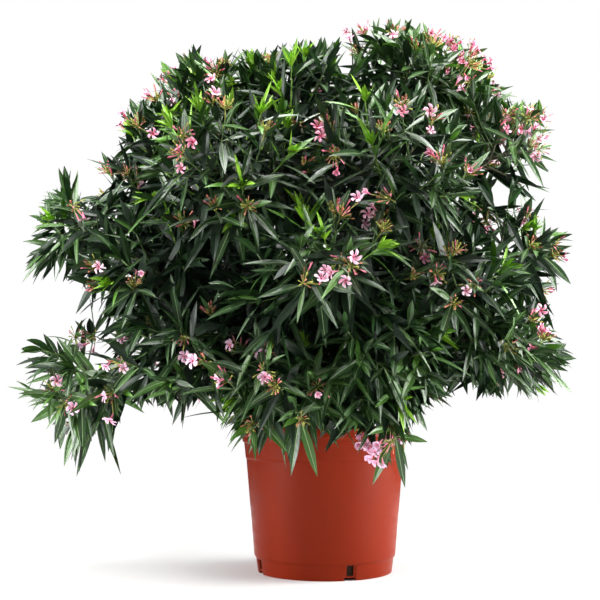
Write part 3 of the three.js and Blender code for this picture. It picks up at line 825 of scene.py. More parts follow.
# dark and light colour, roughness, coat and specular level
LEAF_LOOKS = {
    # the deep tone is painted shade: a near-black, less glossy copy of the leaf finish for leaves inside the
    # crown
    "deep": ((0.005, 0.014, 0.006), (0.010, 0.027, 0.009), 0.42, 0.02, 0.28),
    "dark": ((0.013, 0.042, 0.010), (0.024, 0.068, 0.014), 0.36, 0.08, 0.46),
    "green": ((0.028, 0.082, 0.012), (0.048, 0.122, 0.017), 0.36, 0.08, 0.46),
    "fresh": ((0.055, 0.175, 0.010), (0.092, 0.250, 0.016), 0.38, 0.08, 0.46),
    "young": ((0.150, 0.350, 0.010), (0.240, 0.480, 0.020), 0.45, 0.08, 0.46),
}
# dark and light colour, roughness, scale of the noise, relief, and a specular level where it isn't 0.5
PLAIN_LOOKS = {
    "midrib": ((0.15, 0.25, 0.10), (0.30, 0.42, 0.19), 0.5, 20, 0.0002),
    "midrib_young": ((0.30, 0.50, 0.08), (0.42, 0.62, 0.14), 0.5, 20, 0.0002),
    "twig_young": ((0.11, 0.25, 0.02), (0.20, 0.38, 0.04), 0.5, 60, 0.0003),
    "twig_green": ((0.05, 0.10, 0.02), (0.11, 0.19, 0.045), 0.5, 60, 0.0003),
    "twig_brown": ((0.07, 0.065, 0.035), (0.13, 0.12, 0.07), 0.7, 50, 0.0006),
    "bark": ((0.07, 0.055, 0.038), (0.17, 0.145, 0.11), 0.85, 28, 0.002),
    # the compost is near-black and dull, partly its own dark colour and partly painted shade so the pot's
    # slots read dark
    "compost": ((0.006, 0.004, 0.003), (0.030, 0.019, 0.012), 0.95, 120, 0.003, 0.03),
}
BLOSSOM_COLORS = {
    "petals_deep": ((0.78, 0.21, 0.37), (0.92, 0.52, 0.66)),
    "petals_pale": ((0.82, 0.42, 0.57), (0.94, 0.72, 0.82)),
    "petals_lilac": ((0.66, 0.35, 0.52), (0.86, 0.65, 0.78)),
    "throats_deep": ((0.56, 0.055, 0.13), (0.74, 0.18, 0.27)),
    "throats_pale": ((0.64, 0.12, 0.25), (0.82, 0.30, 0.42)),
    "buds_rose": ((0.58, 0.08, 0.15), (0.80, 0.30, 0.38)),
    "buds_salmon": ((0.52, 0.12, 0.08), (0.74, 0.32, 0.22)),
    "buds_green": ((0.22, 0.24, 0.035), (0.46, 0.44, 0.10)),
    "buds_brown": ((0.15, 0.055, 0.022), (0.32, 0.14, 0.06)),
    "stalks": ((0.18, 0.20, 0.035), (0.36, 0.34, 0.08)),
}
for kind, colors in BLOSSOM_COLORS.items():
    PLAIN_LOOKS[kind] = (*colors, 0.55, 70, 0.0004, 0.3)

# ---- Leaves ----
LEAF_STATIONS = np.array([0, 0.06, 0.17, 0.32, 0.48, 0.64, 0.79, 0.91])
LEAF_HALF_WIDTHS = np.array([0.10, 0.20, 0.56, 0.88, 1.0, 0.90, 0.60, 0.27])
LEAF_FOLD = 0.42
LEAF_CURL = 0.20
RIB_HALF_WIDTH = 1.2 * MM
RIB_TAPER = 0.7
RIB_LIFT = 0.5 * MM
LEAF_TRIES = 4
TRY_SHORTER = 0.12  # how much shorter a leaf is at each new try
SECOND_WHORL_SIZE = 0.93
TIP_OPEN = (20, 34)  # degrees between a leaf and its shoot, in the whorl at the tip
NEXT_OPEN, OPEN_STEP, MOST_OPEN = 32, 15, 84  # the same behind it, one whorl after another
TUFT_OPEN, YOUNG_TUFT_OPEN = (8, 18), (6, 30)
SHADE_TONE_WITHIN, DARK_WITHIN, GREEN_WITHIN = 0.66, 0.86, 0.98  # outwardness that each leaf tone reaches; the tones darken inwards as painted shade
# HEIGHT_BRIGHTENS lightens leaves higher in the crown, partly as painted light from above and partly for the
# fresher growth there; AGE_DARKENS is the darker colour of older leaves
TONE_STRAY, AGE_DARKENS, HEIGHT_BRIGHTENS = 0.09, 0.10, 0.16
YOUNG_SHADE = 0.74  # outwardness below which even young shoots get the darker tones, as painted shade
DARK_SHARE, GREEN_SHARE, FRESH_SHARE, YOUNG_FRESH_SHARE = 0.75, 0.32, 0.24, 0.8
Leaf = namedtuple("Leaf", "root direction face length width droop recurve twist tone mass")
LEAVES = []


def leaf_template(columns):
    """Stations, sides, half widths and triangles of a blade in two halves that meet in a crease."""
    t, u, half, triangles = [], [], [], []
    width = len(columns)
    for side in (-1, 1):
        faces = grid_faces(len(LEAF_STATIONS), width, len(t))
        for station, half_width in zip(LEAF_STATIONS, LEAF_HALF_WIDTHS):
            t += [station] * width
            u += [side * column for column in columns]
            half += [half_width] * width
        faces += [(a, a + 1, len(t)) for a in range(len(t) - width, len(t) - 1)]
        triangles += [face[::side] for face in faces]
        t.append(1.0)
        u.append(0.0)
        half.append(0.0)
    return np.array(t), np.array(u), np.array(half), np.array(triangles)


FINE_LEAF = leaf_template((1.0, 0.55, 0.0))
PLAIN_LEAF = leaf_template((1.0, 0.0))


def leaf_points(leaves, t, y, z):
    """Points of some leaves at stations t, with offsets y across and z off the face."""
    columns = [np.array(column) for column in list(zip(*leaves))[:8]]
    root, direction, face = (column[:, None] for column in columns[:3])
    length, _, droop, recurve, twist = (column[:, None] for column in columns[3:])
    side = np.cross(face, direction)
    turn = (twist * t)[..., None]
    across = side * np.cos(turn) + face * np.sin(turn)
    off = face * np.cos(turn) - side * np.sin(turn)
    points = root + direction * (length * t)[..., None]
    points = points - face * (length * recurve * t**2)[..., None]
    points = points + across * y[..., None] + off * z[..., None]
    points[..., 2] -= length * droop * t**2
    return points


def widths_of(leaves):
    return np.array([leaf.width for leaf in leaves])[:, None]


def blades(leaves, template):
    t, u, half, triangles = template
    half = widths_of(leaves) / 2 * half
    z = half * (LEAF_FOLD * np.abs(u) - LEAF_CURL * u**2)
    return leaf_points(leaves, t[None, :], half * u, z), triangles, np.stack([t, np.abs(u)], axis=1)


def ribs(leaves):
    """A pale strip that stands a little above the crease of each leaf."""
    t = np.repeat(LEAF_STATIONS, 2)
    u = np.tile([-1, 1], len(LEAF_STATIONS))
    triangles = np.array(grid_faces(len(LEAF_STATIONS), 2))[:, ::-1]
    half = RIB_HALF_WIDTH * (1 - RIB_TAPER * t) * (widths_of(leaves) / LEAF_WIDTH)
    return leaf_points(leaves, t[None, :], half * u, half * LEAF_FOLD + RIB_LIFT), triangles, None


def turned_up(direction, face, share):
    """Turns a leaf's upper side towards the sky, keeping its direction."""
    target = UP - direction * (UP @ direction)
    size = np.linalg.norm(target)
    if size < 0.15:
        return face
    return unit(face * (1 - share) + target / size * share)


def add_leaf(shoot, root, along, open_degrees, turn, length, tone, age):
    """A leaf that stays in the crown and off the pot and the flowers, if a few tries find one."""
    high = np.clip((root[2] - HANG_FROM) / HANG_RISE, 0, 1)
    hang = (HANG_LOW + (HANG_HIGH - HANG_LOW) * high) * age
    for attempt in range(LEAF_TRIES):
        direction, face = leaning(along, open_degrees, turn)
        face = turned_up(direction, face, rng.uniform(0.15, 0.6))
        stray = rng.normal(0, 0.06 + 0.1 * attempt, 3)
        direction = unit(direction + stray - UP * hang * rng.uniform(0.5, 1.3))
        face = unit(face - direction * (face @ direction))
        level = math.sqrt(max(0.0, 1 - direction[2] ** 2))
        droop = max(0.0, rng.normal(0.08 + 0.14 * (1 - high), 0.07)) * level + 0.02
        size = length * (1 - TRY_SHORTER * attempt)
        tip = root + direction * size - UP * droop * size
        middle = root + direction * size * 0.55
        most_out = min(rng.exponential(TIP_STRAY), MOST_STRAY)
        if tip[2] < POT_CLEAR_HEIGHT:
            most_out = 0
        if depth_in_outline(tip)[0] < -most_out or in_sky([middle, tip]) or not in_box(tip):
            continue
        if hides_flower([(root + middle) / 2, middle, (middle + tip) / 2, tip]):
            continue
        if in_crown(tip, FORM_SWELL, CORE_LEAVES)[0] and clear_of_pot([tip, middle]).all():
            break
    else:
        return
    full_width = INNER_LEAF_WIDTH if tone == "deep" else LEAF_WIDTH
    width = full_width * rng.uniform(0.85, 1.15) * (0.5 + 0.5 * size / LEAF_LENGTH)
    if tone == "young":
        width = YOUNG_WIDTH * rng.uniform(0.85, 1.2)
    recurve = rng.uniform(-0.03, 0.12)
    twist = rng.normal(0, 0.35)
    LEAVES.append(Leaf(root, direction, face, size, width, droop, recurve, twist, tone, shoot.mass.name))


def leaf_tone(shoot, point, age):
    """Darker inside and low in the crown as painted shade, brighter outside and high up as painted light,
    fresh on young shoots and darker with age.
    """
    if shoot.young and age < 0.2:
        return "young"
    # twigs in the shade of the crown get only the deep tone, which is painted shade
    if shoot.fill:
        return "deep"
    out = outwardness(point) + rng.normal(0, TONE_STRAY) - AGE_DARKENS * age
    out += HEIGHT_BRIGHTENS * (point[2] - CROWN_HEART[2])
    if shoot.young and age < 0.6 and out > YOUNG_SHADE:
        return "fresh" if rng.uniform() < YOUNG_FRESH_SHARE - age else "green"
    if out < SHADE_TONE_WITHIN:
        return "deep"
    if out < DARK_WITHIN:
        return "dark" if rng.uniform() < DARK_SHARE else "deep"
    if out < GREEN_WITHIN:
        return "green" if rng.uniform() < GREEN_SHARE else "dark"
    return "fresh" if rng.uniform() < FRESH_SHARE - 0.3 * age else "green"


def leaf_shoot(shoot):
    """Whorls of leaves along a shoot: upright at its tip, open and hanging further back."""
    curve = shoot.curve
    bare = BARE_SHARE if shoot.outer else INNER_BARE_SHARE
    count = max(2, int(curve.length * (1 - bare) / WHORL_STEP + 0.5))
    turn = rng.uniform(0, 2 * math.pi)
    for k in range(count):
        share = bare + (1 - bare) * (k + 1) / count if shoot.outer else bare + (0.9 - bare) * k / count
        root, along = curve.at(share), curve.way(share)
        below = count - 1 - k
        age = min(1.0, below / 4) if shoot.outer else 0.9
        for j in range(WHORL):
            angle = turn + (j + 0.5 * (k % 2)) * 2 * math.pi / WHORL + rng.normal(0, 0.12)
            if shoot.outer and below == 0:
                open_degrees, length = rng.uniform(*TIP_OPEN), rng.uniform(0.85, 1.2) * TIP_LEAF_LENGTH
            else:
                open_degrees = min(MOST_OPEN, NEXT_OPEN + OPEN_STEP * below + rng.normal(0, 7))
                length = LEAF_LENGTH * rng.uniform(0.82, 1.13)
                if below <= 1 and shoot.outer:
                    length *= SECOND_WHORL_SIZE
                length *= 1 + LOW_LONGER * np.clip((HANG_FROM - root[2]) / 0.2, 0, 1)
            if shoot.young and below == 0:
                length = YOUNG_LENGTH * rng.uniform(0.9, 1.4)
            tone = leaf_tone(shoot, root, age)
            add_leaf(shoot, root, along, open_degrees, angle, length, tone, age)
    if shoot.outer and not shoot.tone:
        root, along = curve.at(1), curve.way(1)
        count = YOUNG_TUFT if shoot.young else WHORL
        for j in range(count):
            angle = turn + (j + 0.25) * 2 * math.pi / count
            open_degrees = rng.uniform(*(YOUNG_TUFT_OPEN if shoot.young else TUFT_OPEN))
            length = (YOUNG_LENGTH if shoot.young else TIP_LEAF_LENGTH) * rng.uniform(0.45, 0.85)
            add_leaf(shoot, root, along, open_degrees, angle, length, leaf_tone(shoot, root, 0), 0)


def edge_leaf(root_pixel, tip_pixel):
    """A bold leaf from the nearest twig's tip to a spike of the outline."""
    seen = to_image([shoot.curve.at(1) for shoot in OUTER])
    away = np.hypot(seen[:, 0] - root_pixel[0], seen[:, 1] - root_pixel[1])
    shoot = OUTER[int(np.argmin(away))]
    root = shoot.curve.at(0.97)
    offset = from_image(*tip_pixel, to_image(root)[2]) - root
    size = min(float(np.linalg.norm(offset)), EDGE_LONGEST)
    direction = unit(unit(offset) + UP * EDGE_DROOP)
    face = UP * 0.5 + np.array([0, -0.7, 0]) + rng.normal(0, 0.25, 3)
    face = unit(face - direction * (face @ direction))
    width = LEAF_WIDTH * rng.uniform(0.95, 1.2)
    tone = leaf_tone(shoot, root, 0.5)
    recurve = rng.uniform(0, 0.06)
    twist = rng.normal(0, 0.25)
    LEAVES.append(
        Leaf(root, direction, face, size, width, EDGE_DROOP, recurve, twist, tone, shoot.mass.name)
    )


def entries_of(leaves, make):
    """For each mass, its name and the points, triangles and uv that make gives for its leaves."""
    made = []
    for mass in MASSES:
        some = [leaf for leaf in leaves if leaf.mass == mass.name]
        if some:
            points, faces, uv = make(some)
            starts = np.arange(len(some))[:, None, None] * points.shape[1]
            triangles = (faces[None] + starts).reshape(-1, 3)
            uv_rows = None if uv is None else np.tile(uv, (len(some), 1))
            made.append((mass.name, points.reshape(-1, 3), triangles, uv_rows))
    return made


def make_leaves():
    by_tone = {tone: [leaf for leaf in LEAVES if leaf.tone == tone] for tone in LEAF_LOOKS}
    for tone, leaves in by_tone.items():
        template = PLAIN_LEAF if tone == "deep" else FINE_LEAF
        entries = entries_of(leaves, lambda some: blades(some, template))
        pieces_of("leaves_" + tone, entries, leaf_material(tone))
    old = [leaf for leaf in LEAVES if leaf.tone not in ("young", "deep")]
    pieces_of("midribs", entries_of(old, ribs), plain_material("midrib"))
    young = entries_of(by_tone["young"], ribs)
    pieces_of("midribs_young", young, plain_material("midrib_young"))


for shoot in SHOOT_LIST:
    if shoot.outer or shoot.radius <= SHOOT_RADIUS:
        leaf_shoot(shoot)
for root_pixel, tip_pixel in EDGE_LEAVES_AT:
    edge_leaf(root_pixel, tip_pixel)


# ---- Twigs ----
TWIG_SIDES = 6
TWIG_COLLAR = 1.25  # how much thicker a twig is at its root


def make_twigs():
    kinds = {"young": [], "green": [], "brown": []}
    for shoot in SHOOT_LIST:
        shares = np.linspace(0, 1, 6 if shoot.outer else 8)
        radii = shoot.radius + (shoot.tip_radius - shoot.radius) * shares
        if shoot.outer:
            radii[0] *= TWIG_COLLAR
        kind = "young" if shoot.young else "green" if shoot.outer else "brown"
        kinds[kind].append((shoot.mass.name, *tube(shoot.curve.at(shares), radii, TWIG_SIDES), None))
    for kind, entries in kinds.items():
        pieces_of("twigs_" + kind, entries, plain_material("twig_" + kind))


# ---- Stems and boughs with the relief of their bark ----
LIMB_SIDES = 18
RING_STEP = 9 * MM
NODE_STEP = 55 * MM  # between the rings that old leaves left on a limb
NODE_SWELL = 0.07
GRAIN_STRETCH = np.array([1, 1, 0.45])


def rough(points, scale, seed):
    """A smooth pseudo-random value at each point, from a few waves."""
    local = np.random.RandomState(seed)
    value = np.zeros(len(points))
    for octave in range(1, 5):
        for _ in range(3):
            wave = local.normal(size=3)
            value += np.sin(points @ unit(wave) * scale * octave * 1.7 + local.uniform(0, 6.28)) / octave
    return value / 6


def make_limb_pieces():
    parts = {"stems": [], "boughs": []}
    for number, (name, (curve, foot, tip, flare, _)) in enumerate(LIMBS.items()):
        shares = np.linspace(0, 1, max(8, int(curve.length / RING_STEP)))
        path = curve.at(shares)
        along = shares * curve.length
        radii = (foot + (tip - foot) * shares) * (1 + flare * np.exp(-along / FLARE_LENGTH))
        swell = 1 + NODE_SWELL * np.maximum(0, np.cos(along / NODE_STEP * 2 * math.pi)) ** 8
        points, triangles = tube(path, radii * swell, LIMB_SIDES)
        centre = np.repeat(path, LIMB_SIDES, axis=0)
        ring = points[: len(centre)]
        grain = rough(ring * GRAIN_STRETCH, 260, number) * 0.9 * MM
        relief = grain + rough(ring, 45, number + 50) * 1.3 * MM
        fade = np.repeat(np.minimum(1, (1 - shares) * 12), LIMB_SIDES)
        points[: len(centre)] = ring + unit(ring - centre) * (relief * fade)[:, None]
        parts["stems" if name.startswith("stem") else "boughs"].append((points, triangles))
    bark = plain_material("bark")
    for kind, some in parts.items():
        piece = mesh_object(kind, *joined(some), bark)
        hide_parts(*[name for name in LIMBS if name.startswith(kind[:-1] + "_")])


# ---- Blossom ----
PETALS = 5
FLOWER_RADIUS = 20 * MM
TUBE_LENGTH = 18 * MM
HEAD_SPREAD = 0.036
PETAL_STATIONS = (0.16, 0.38, 0.60, 0.82, 1.0)
PETAL_HALF_WIDTHS = (0.09, 0.19, 0.31, 0.33, 0.12)
PETAL_SIDES = (-1, -0.45, 0.35, 1)
PETAL_BREADTHS = {"deep": 0.78, "pale": 0.85, "lilac": 1.0}
PETAL_SWIRL = 0.55
FUNNEL_SIDES = 9
STREAKS = ((0.18, 0.07), (0.42, 0.075), (0.74, 0.0))  # radius and half width of the streak on a petal
BUD_RINGS = ((0, 0.035), (0.14, 0.070), (0.45, 0.066), (0.72, 0.100), (0.90, 0.055))
BUD_SIDES = 5
BUD_TWIST = 0.35
BUD_BREADTHS = {"rose": 1.1, "salmon": 1.3, "green": 1.75, "brown": 1.75}
BUD_LENGTHS = {"rose": (14, 26), "salmon": (11, 20), "green": (8, 16), "brown": (9, 17)}  # millimetres
BUD_COUNTS = {"bud": (14, 24), "deep": (14, 22), "pale": (9, 16), "lilac": (9, 16)}
BUD_SHARES = {"open": (0.25, 0.15, 0.38, 0.22), "closed": (0.06, 0.16, 0.50, 0.28)}
CUPS = (0.12, 0.45, 0.95)  # how far the petals of an open, a half open and a closing flower rise
CUP_SHARES = (0.42, 0.38, 0.20)
BLOSSOM = {}


def petal_point(petal, r, cup):
    """Where the middle of a petal is at radius r, and the direction across it."""
    angle = petal * 2 * math.pi / PETALS + PETAL_SWIRL * r * r
    way = np.array([math.cos(angle), math.sin(angle), 0])
    across = np.array([-math.sin(angle), math.cos(angle), 0])
    return way * r * math.cos(cup) + UP * (r * math.sin(cup) + 0.2 * math.sin(2 * r) * (1 - cup)), across


def petal_template(cup, breadth):
    """Five petals of a flower of radius 1 that faces +Z, raised by an angle from flat."""
    points, triangles = [], []
    for petal in range(PETALS):
        faces = grid_faces(len(PETAL_STATIONS), len(PETAL_SIDES), len(points))
        triangles += [face[::-1] for face in faces]
        for r, full in zip(PETAL_STATIONS, PETAL_HALF_WIDTHS):
            centre, across = petal_point(petal, r, cup)
            half = full * breadth
            for side in PETAL_SIDES:
                points.append(centre + across * side * half + UP * (0.22 * side * half - 0.06 * side**2))
    return np.array(points), np.array(triangles)


def funnel_template(cup):
    """The funnel below the petals, and a deeper streak that runs out on to each."""
    length = TUBE_LENGTH / FLOWER_RADIUS
    rings = ((0.07, -length), (0.09, -length * 0.55), (0.17, -length * 0.25), (0.22, 0.06))
    points = list(np.concatenate([circle(*ring, FUNNEL_SIDES) for ring in rings]))
    triangles = grid_faces(len(rings), FUNNEL_SIDES, closed=True)
    for petal in range(PETALS):
        base = len(points)
        for r, half in STREAKS:
            centre, across = petal_point(petal, r, cup)
            for side in (-1, 1) if half else (0,):
                points.append(centre + across * side * half + UP * 0.03)
        triangles += [(base, base + 2, base + 3), (base, base + 3, base + 1), (base + 2, base + 4, base + 3)]
    return np.array(points), np.array(triangles)


def bud_template(breadth):
    """A slender twisted bud from 0 to 1 along +Z."""
    points = []
    for i, (height, radius) in enumerate(BUD_RINGS):
        for j in range(BUD_SIDES):
            a = 2 * math.pi * (j + BUD_TWIST * i) / BUD_SIDES
            points.append((radius * breadth * math.cos(a), radius * breadth * math.sin(a), height))
    tip = len(points)
    points.append((0, 0, 1))
    triangles = grid_faces(len(BUD_RINGS), BUD_SIDES, closed=True)
    last = tip - BUD_SIDES
    triangles += [(last + j, last + (j + 1) % BUD_SIDES, tip) for j in range(BUD_SIDES)]
    return np.array(points), np.array(triangles)


def placed(template, root, along, size, turn):
    """A template stood on a root, facing along."""
    points, triangles = template
    first, second = side_directions(along)
    x = first * math.cos(turn) + second * math.sin(turn)
    y = np.cross(along, x)
    turned = points[:, :1] * x + points[:, 1:2] * y + points[:, 2:3] * along
    return root + turned * size, triangles


PETAL_TEMPLATES = {
    tone: [petal_template(cup, breadth) for cup in CUPS] for tone, breadth in PETAL_BREADTHS.items()
}
FUNNEL_TEMPLATES = [funnel_template(cup) for cup in CUPS]
BUD_TEMPLATES = {kind: bud_template(breadth) for kind, breadth in BUD_BREADTHS.items()}


def keep(kind, mass, pair):
    BLOSSOM.setdefault(kind, []).append((mass.name, *pair, None))


def stalk(mass, start, bend, end, radii, sides=4):
    """A stalk through given radii in millimetres."""
    path = Arc(start, bend, end, 10).at(np.linspace(0, 1, len(radii)))
    keep("stalks", mass, tube(path, np.array(radii) * MM, sides))


def grow_flower(shoot, top, place, outward):
    mass, tone = shoot.mass, shoot.tone
    face = unit(unit(place - top) * 0.7 + outward * 0.5 + UP * 0.1 + rng.normal(0, 0.45, 3))
    size = FLOWER_RADIUS * rng.uniform(0.74, 1.10)
    base = place - face * TUBE_LENGTH * size / FLOWER_RADIUS
    stalk(mass, top, (top + base) / 2 + UP * 0.003, base, (1.1, 0.9, 1.5))
    cup = rng.choice(len(CUPS), p=CUP_SHARES)
    spin = rng.uniform(0, 2 * math.pi)
    throat = "throats_deep" if tone == "deep" else "throats_pale"
    keep("petals_" + tone, mass, placed(PETAL_TEMPLATES[tone][cup], place, face, size, spin))
    keep(throat, mass, placed(FUNNEL_TEMPLATES[cup], place, face, size, spin))


def grow_bud(shoot, top, aim, k, count):
    """The k-th of a head's buds, in a spiral that opens outwards."""
    mass, closed = shoot.mass, shoot.tone == "bud"
    open_degrees = 10 + 62 * math.sqrt((k + 0.5) / count) * rng.uniform(0.7, 1.1)
    way = leaning(aim, open_degrees, GOLDEN_ANGLE * k + rng.uniform(-0.4, 0.4))[0]
    reach = HEAD_SPREAD * rng.uniform(0.25, 0.85) * (0.75 if closed else 1)
    end = top + way * reach + UP * 0.004
    stalk(mass, top, top + way * reach * 0.5, end, (1.0, 0.8, 1.2))
    kind = rng.choice(list(BUD_TEMPLATES), p=BUD_SHARES["closed" if closed else "open"])
    length = rng.uniform(*BUD_LENGTHS[kind]) * MM
    spin = rng.uniform(0, 2 * math.pi)
    keep("buds_" + kind, mass, placed(BUD_TEMPLATES[kind], end, unit(way + aim * 0.3), length, spin))


def grow_head(shoot):
    """A head of blossom at a shoot's tip: a branched stalk with open flowers and buds."""
    tip, along = shoot.curve.at(1), shoot.curve.way(1)
    flowers = list(shoot.flowers)
    outward = unit(tip - CROWN_HEART)
    aim = unit(along + UP * 0.2 + outward * 0.4)
    if flowers:
        aim = unit(np.mean(flowers, axis=0) - tip + aim * 0.03)
    top = tip + aim * rng.uniform(0.014, 0.026)
    if shoot.tone != "bud" and not flowers:
        for k in range(rng.randint(2, 6)):
            way = leaning(aim, rng.uniform(15, 70), GOLDEN_ANGLE * k)[0]
            flowers.append(top + way * HEAD_SPREAD * rng.uniform(0.8, 1.25))
    stalk(shoot.mass, tip - along * 0.004, tip + along * 0.008, top, (1.8, 1.6, 1.5), 5)
    for place in flowers:
        grow_flower(shoot, top, place, outward)
    count = rng.randint(*BUD_COUNTS[shoot.tone])
    for k in range(count):
        grow_bud(shoot, top, aim, k, count)


def make_blossom():
    for shoot in OUTER:
        if shoot.tone:
            grow_head(shoot)
    for kind in BLOSSOM_COLORS:
        if kind in BLOSSOM:
            pieces_of(kind, BLOSSOM[kind], plain_material(kind))


# ---- Pot and soil ----
POT_HEIGHT = 432 * MM
RIM_RADIUS = 260 * MM
RIM_DEPTH = 26 * MM
COLLAR_RADIUS = 251 * MM
COLLAR_FOOT = 386 * MM
SHOULDER_RADIUS = 246 * MM
BEAD_HEIGHT = 338 * MM
BEAD_RADIUS = 239 * MM
BEAD_STEP = 2 * MM
BODY_FOOT = 50 * MM
BODY_FOOT_RADIUS = 213.5 * MM
BASE_TOP = 43 * MM
BASE_TOP_RADIUS = 208 * MM
BASE_RADIUS = 202 * MM
WALL = 5 * MM
FLOOR = 13 * MM
SLOTS = 4
SLOT_TURN = 289.5
SLOT_WIDTH = 22 * MM
SLOT_HEIGHT = 31 * MM
RECESS_WIDTH = 36 * MM
RECESS_DEPTH = 2.5 * MM
CHANNEL_WIDTH = 36 * MM
CHANNEL_HEIGHT = 8.5 * MM
CHANNEL_START = 90 * MM
RIM_INSIDE = COLLAR_RADIUS - WALL + 2 * MM
INNER_TOP = SHOULDER_RADIUS - WALL
INNER_FOOT = BASE_RADIUS - WALL
EDGE_ROUNDING = 2.2 * MM
POT_SIDES = 144
SOIL_SIDES = 160
SOIL_RINGS = 60


def rounded(corners, radius, steps=4):
    """A profile with its corners turned into short curves."""
    corners = np.array(corners, float)
    points = [corners[0]]
    for before, corner, after in zip(corners, corners[1:], corners[2:]):
        back = min(radius, np.linalg.norm(before - corner) * 0.45)
        on = min(radius, np.linalg.norm(after - corner) * 0.45)
        start, end = corner + unit(before - corner) * back, corner + unit(after - corner) * on
        for t in np.linspace(0, 1, steps):
            points.append((1 - t) ** 2 * start + 2 * t * (1 - t) * corner + t * t * end)
    points.append(corners[-1])
    return np.array(points)


def turned(profile, sides):
    """A solid of revolution from a profile that starts and ends on the axis."""
    rings = [circle(radius, height, sides) for radius, height in profile[1:-1]]
    ends = [[(0, 0, profile[0][1])], [(0, 0, profile[-1][1])]]
    points = np.concatenate([ends[0], *rings, ends[1]])
    triangles = grid_faces(len(rings), sides, 1, closed=True)
    last = len(points) - 1 - sides
    for j in range(sides):
        k = (j + 1) % sides
        triangles += [(0, 1 + k, 1 + j), (len(points) - 1, last + j, last + k)]
    return points, np.array(triangles)


def block(start, length, width, low, height, turn, lean=0.0, out=0.0):
    """A box that runs outwards from the pot's axis, for cutting. Its inner face may lean out."""
    shape = bmesh.new()
    bmesh.ops.create_cube(shape, size=1)
    stretch = Matrix.Diagonal((length, width, height, 1))
    upright = Matrix.Translation((start + length / 2, 0, low + height / 2)) @ stretch
    leaned = Matrix.Translation((out, 0, 0)) @ Matrix.Rotation(lean, 4, "Y") @ upright
    shape.transform(Matrix.Rotation(turn, 4, "Z") @ leaned)
    mesh = bpy.data.meshes.new("block")
    shape.to_mesh(mesh)
    shape.free()
    return put_in_scene("block", mesh)


def cut(piece, cutters):
    for cutter in cutters:
        modifier = piece.modifiers.new("cut", "BOOLEAN")
        modifier.operation = "DIFFERENCE"
        modifier.solver = "EXACT"
        modifier.object = cutter
    depsgraph = bpy.context.evaluated_depsgraph_get()
    mesh = bpy.data.meshes.new_from_object(piece.evaluated_get(depsgraph))
    piece.modifiers.clear()
    piece.data = mesh
    for cutter in cutters:
        bpy.data.objects.remove(cutter)


def pot_material():
    """Moulded plastic: smeared gloss, faint rings from the mould and a fine grain."""
    finish = Finish("pot_plastic", 0.36, 0.085)
    dark, light = (0.123, 0.0088, 0.0010), (0.166, 0.0132, 0.0018)
    glossy, dull = (0.30,) * 3, (0.46,) * 3
    finish.paint(finish.noise(5, 5, (1, 1, 0.35)), 0.3, 0.72, dark, light)
    finish.paint(finish.noise(14, 6, (1, 1, 3.5)), 0.3, 0.75, glossy, dull, "Roughness")
    mould_rings = finish.noise(60, 2, (0.02, 0.02, 6))
    finish.emboss((mould_rings, 0.18, 0.0012), (finish.noise(700, 3), 0.08, 0.0004))
    return finish.material


def make_pot():
    outside = [
        (0, 0), (BASE_RADIUS, 0), (BASE_TOP_RADIUS, BASE_TOP), (BODY_FOOT_RADIUS, BODY_FOOT),
        (BEAD_RADIUS, BEAD_HEIGHT), (BEAD_RADIUS + BEAD_STEP, BEAD_HEIGHT + BEAD_STEP),
        (SHOULDER_RADIUS, COLLAR_FOOT), (COLLAR_RADIUS, COLLAR_FOOT + 3 * MM),
        (COLLAR_RADIUS + 1 * MM, POT_HEIGHT - RIM_DEPTH), (RIM_RADIUS, POT_HEIGHT - RIM_DEPTH + 1 * MM),
        (RIM_RADIUS, POT_HEIGHT), (RIM_INSIDE, POT_HEIGHT),
        (INNER_TOP, COLLAR_FOOT), (INNER_FOOT, FLOOR), (0, FLOOR),
    ]
    pot = mesh_object("pot_shell", *turned(rounded(outside, EDGE_ROUNDING), POT_SIDES), pot_material())
    cutters = []
    reach = BODY_FOOT_RADIUS - BASE_RADIUS + WALL * 4
    recess = (0, reach, RECESS_WIDTH, -RECESS_DEPTH, BASE_TOP + RECESS_DEPTH)
    recess_lean = math.atan2(BASE_TOP_RADIUS - BASE_RADIUS, BASE_TOP)
    channel = (CHANNEL_START, RIM_RADIUS, CHANNEL_WIDTH, -1 * MM, CHANNEL_HEIGHT + 1 * MM)
    for i in range(SLOTS):
        turn = math.radians(SLOT_TURN + i * 360 / SLOTS)
        cutters.append(block(INNER_FOOT - WALL, reach, SLOT_WIDTH, FLOOR, SLOT_HEIGHT, turn))
        cutters.append(block(*recess, turn, recess_lean, BASE_RADIUS - RECESS_DEPTH))
        cutters.append(block(*channel, turn))
    cut(pot, cutters)
    pot.data.set_sharp_from_angle(angle=math.radians(32))
    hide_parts("pot")


def make_soil():
    """Compost with a crumbly top that falls towards the pot's wall."""
    profile = [(0, FLOOR + GAP), (INNER_FOOT - GAP, FLOOR + GAP), (INNER_TOP - GAP, COLLAR_FOOT)]
    for radius in np.linspace(INNER_TOP - GAP, 0, SOIL_RINGS):
        fall = SOIL_DISH * np.clip((radius - SOIL_FLAT_RADIUS) / (INNER_TOP - SOIL_FLAT_RADIUS), 0, 1)
        profile.append((radius, SOIL_TOP - fall))
    points, triangles = turned(profile, SOIL_SIDES)
    inside = np.hypot(points[:, 0], points[:, 1]) < INNER_TOP - 2 * MM
    top = inside & (points[:, 2] > COLLAR_FOOT + 2 * MM)
    lumps = rough(points, 90, 3) * 4 * MM + rough(points, 310, 4) * 3 * MM + rough(points, 900, 5) * 2 * MM
    points[top, 2] += lumps[top] - 1 * MM
    soil = mesh_object("compost", points, triangles, plain_material("compost"), False)
    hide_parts("soil")


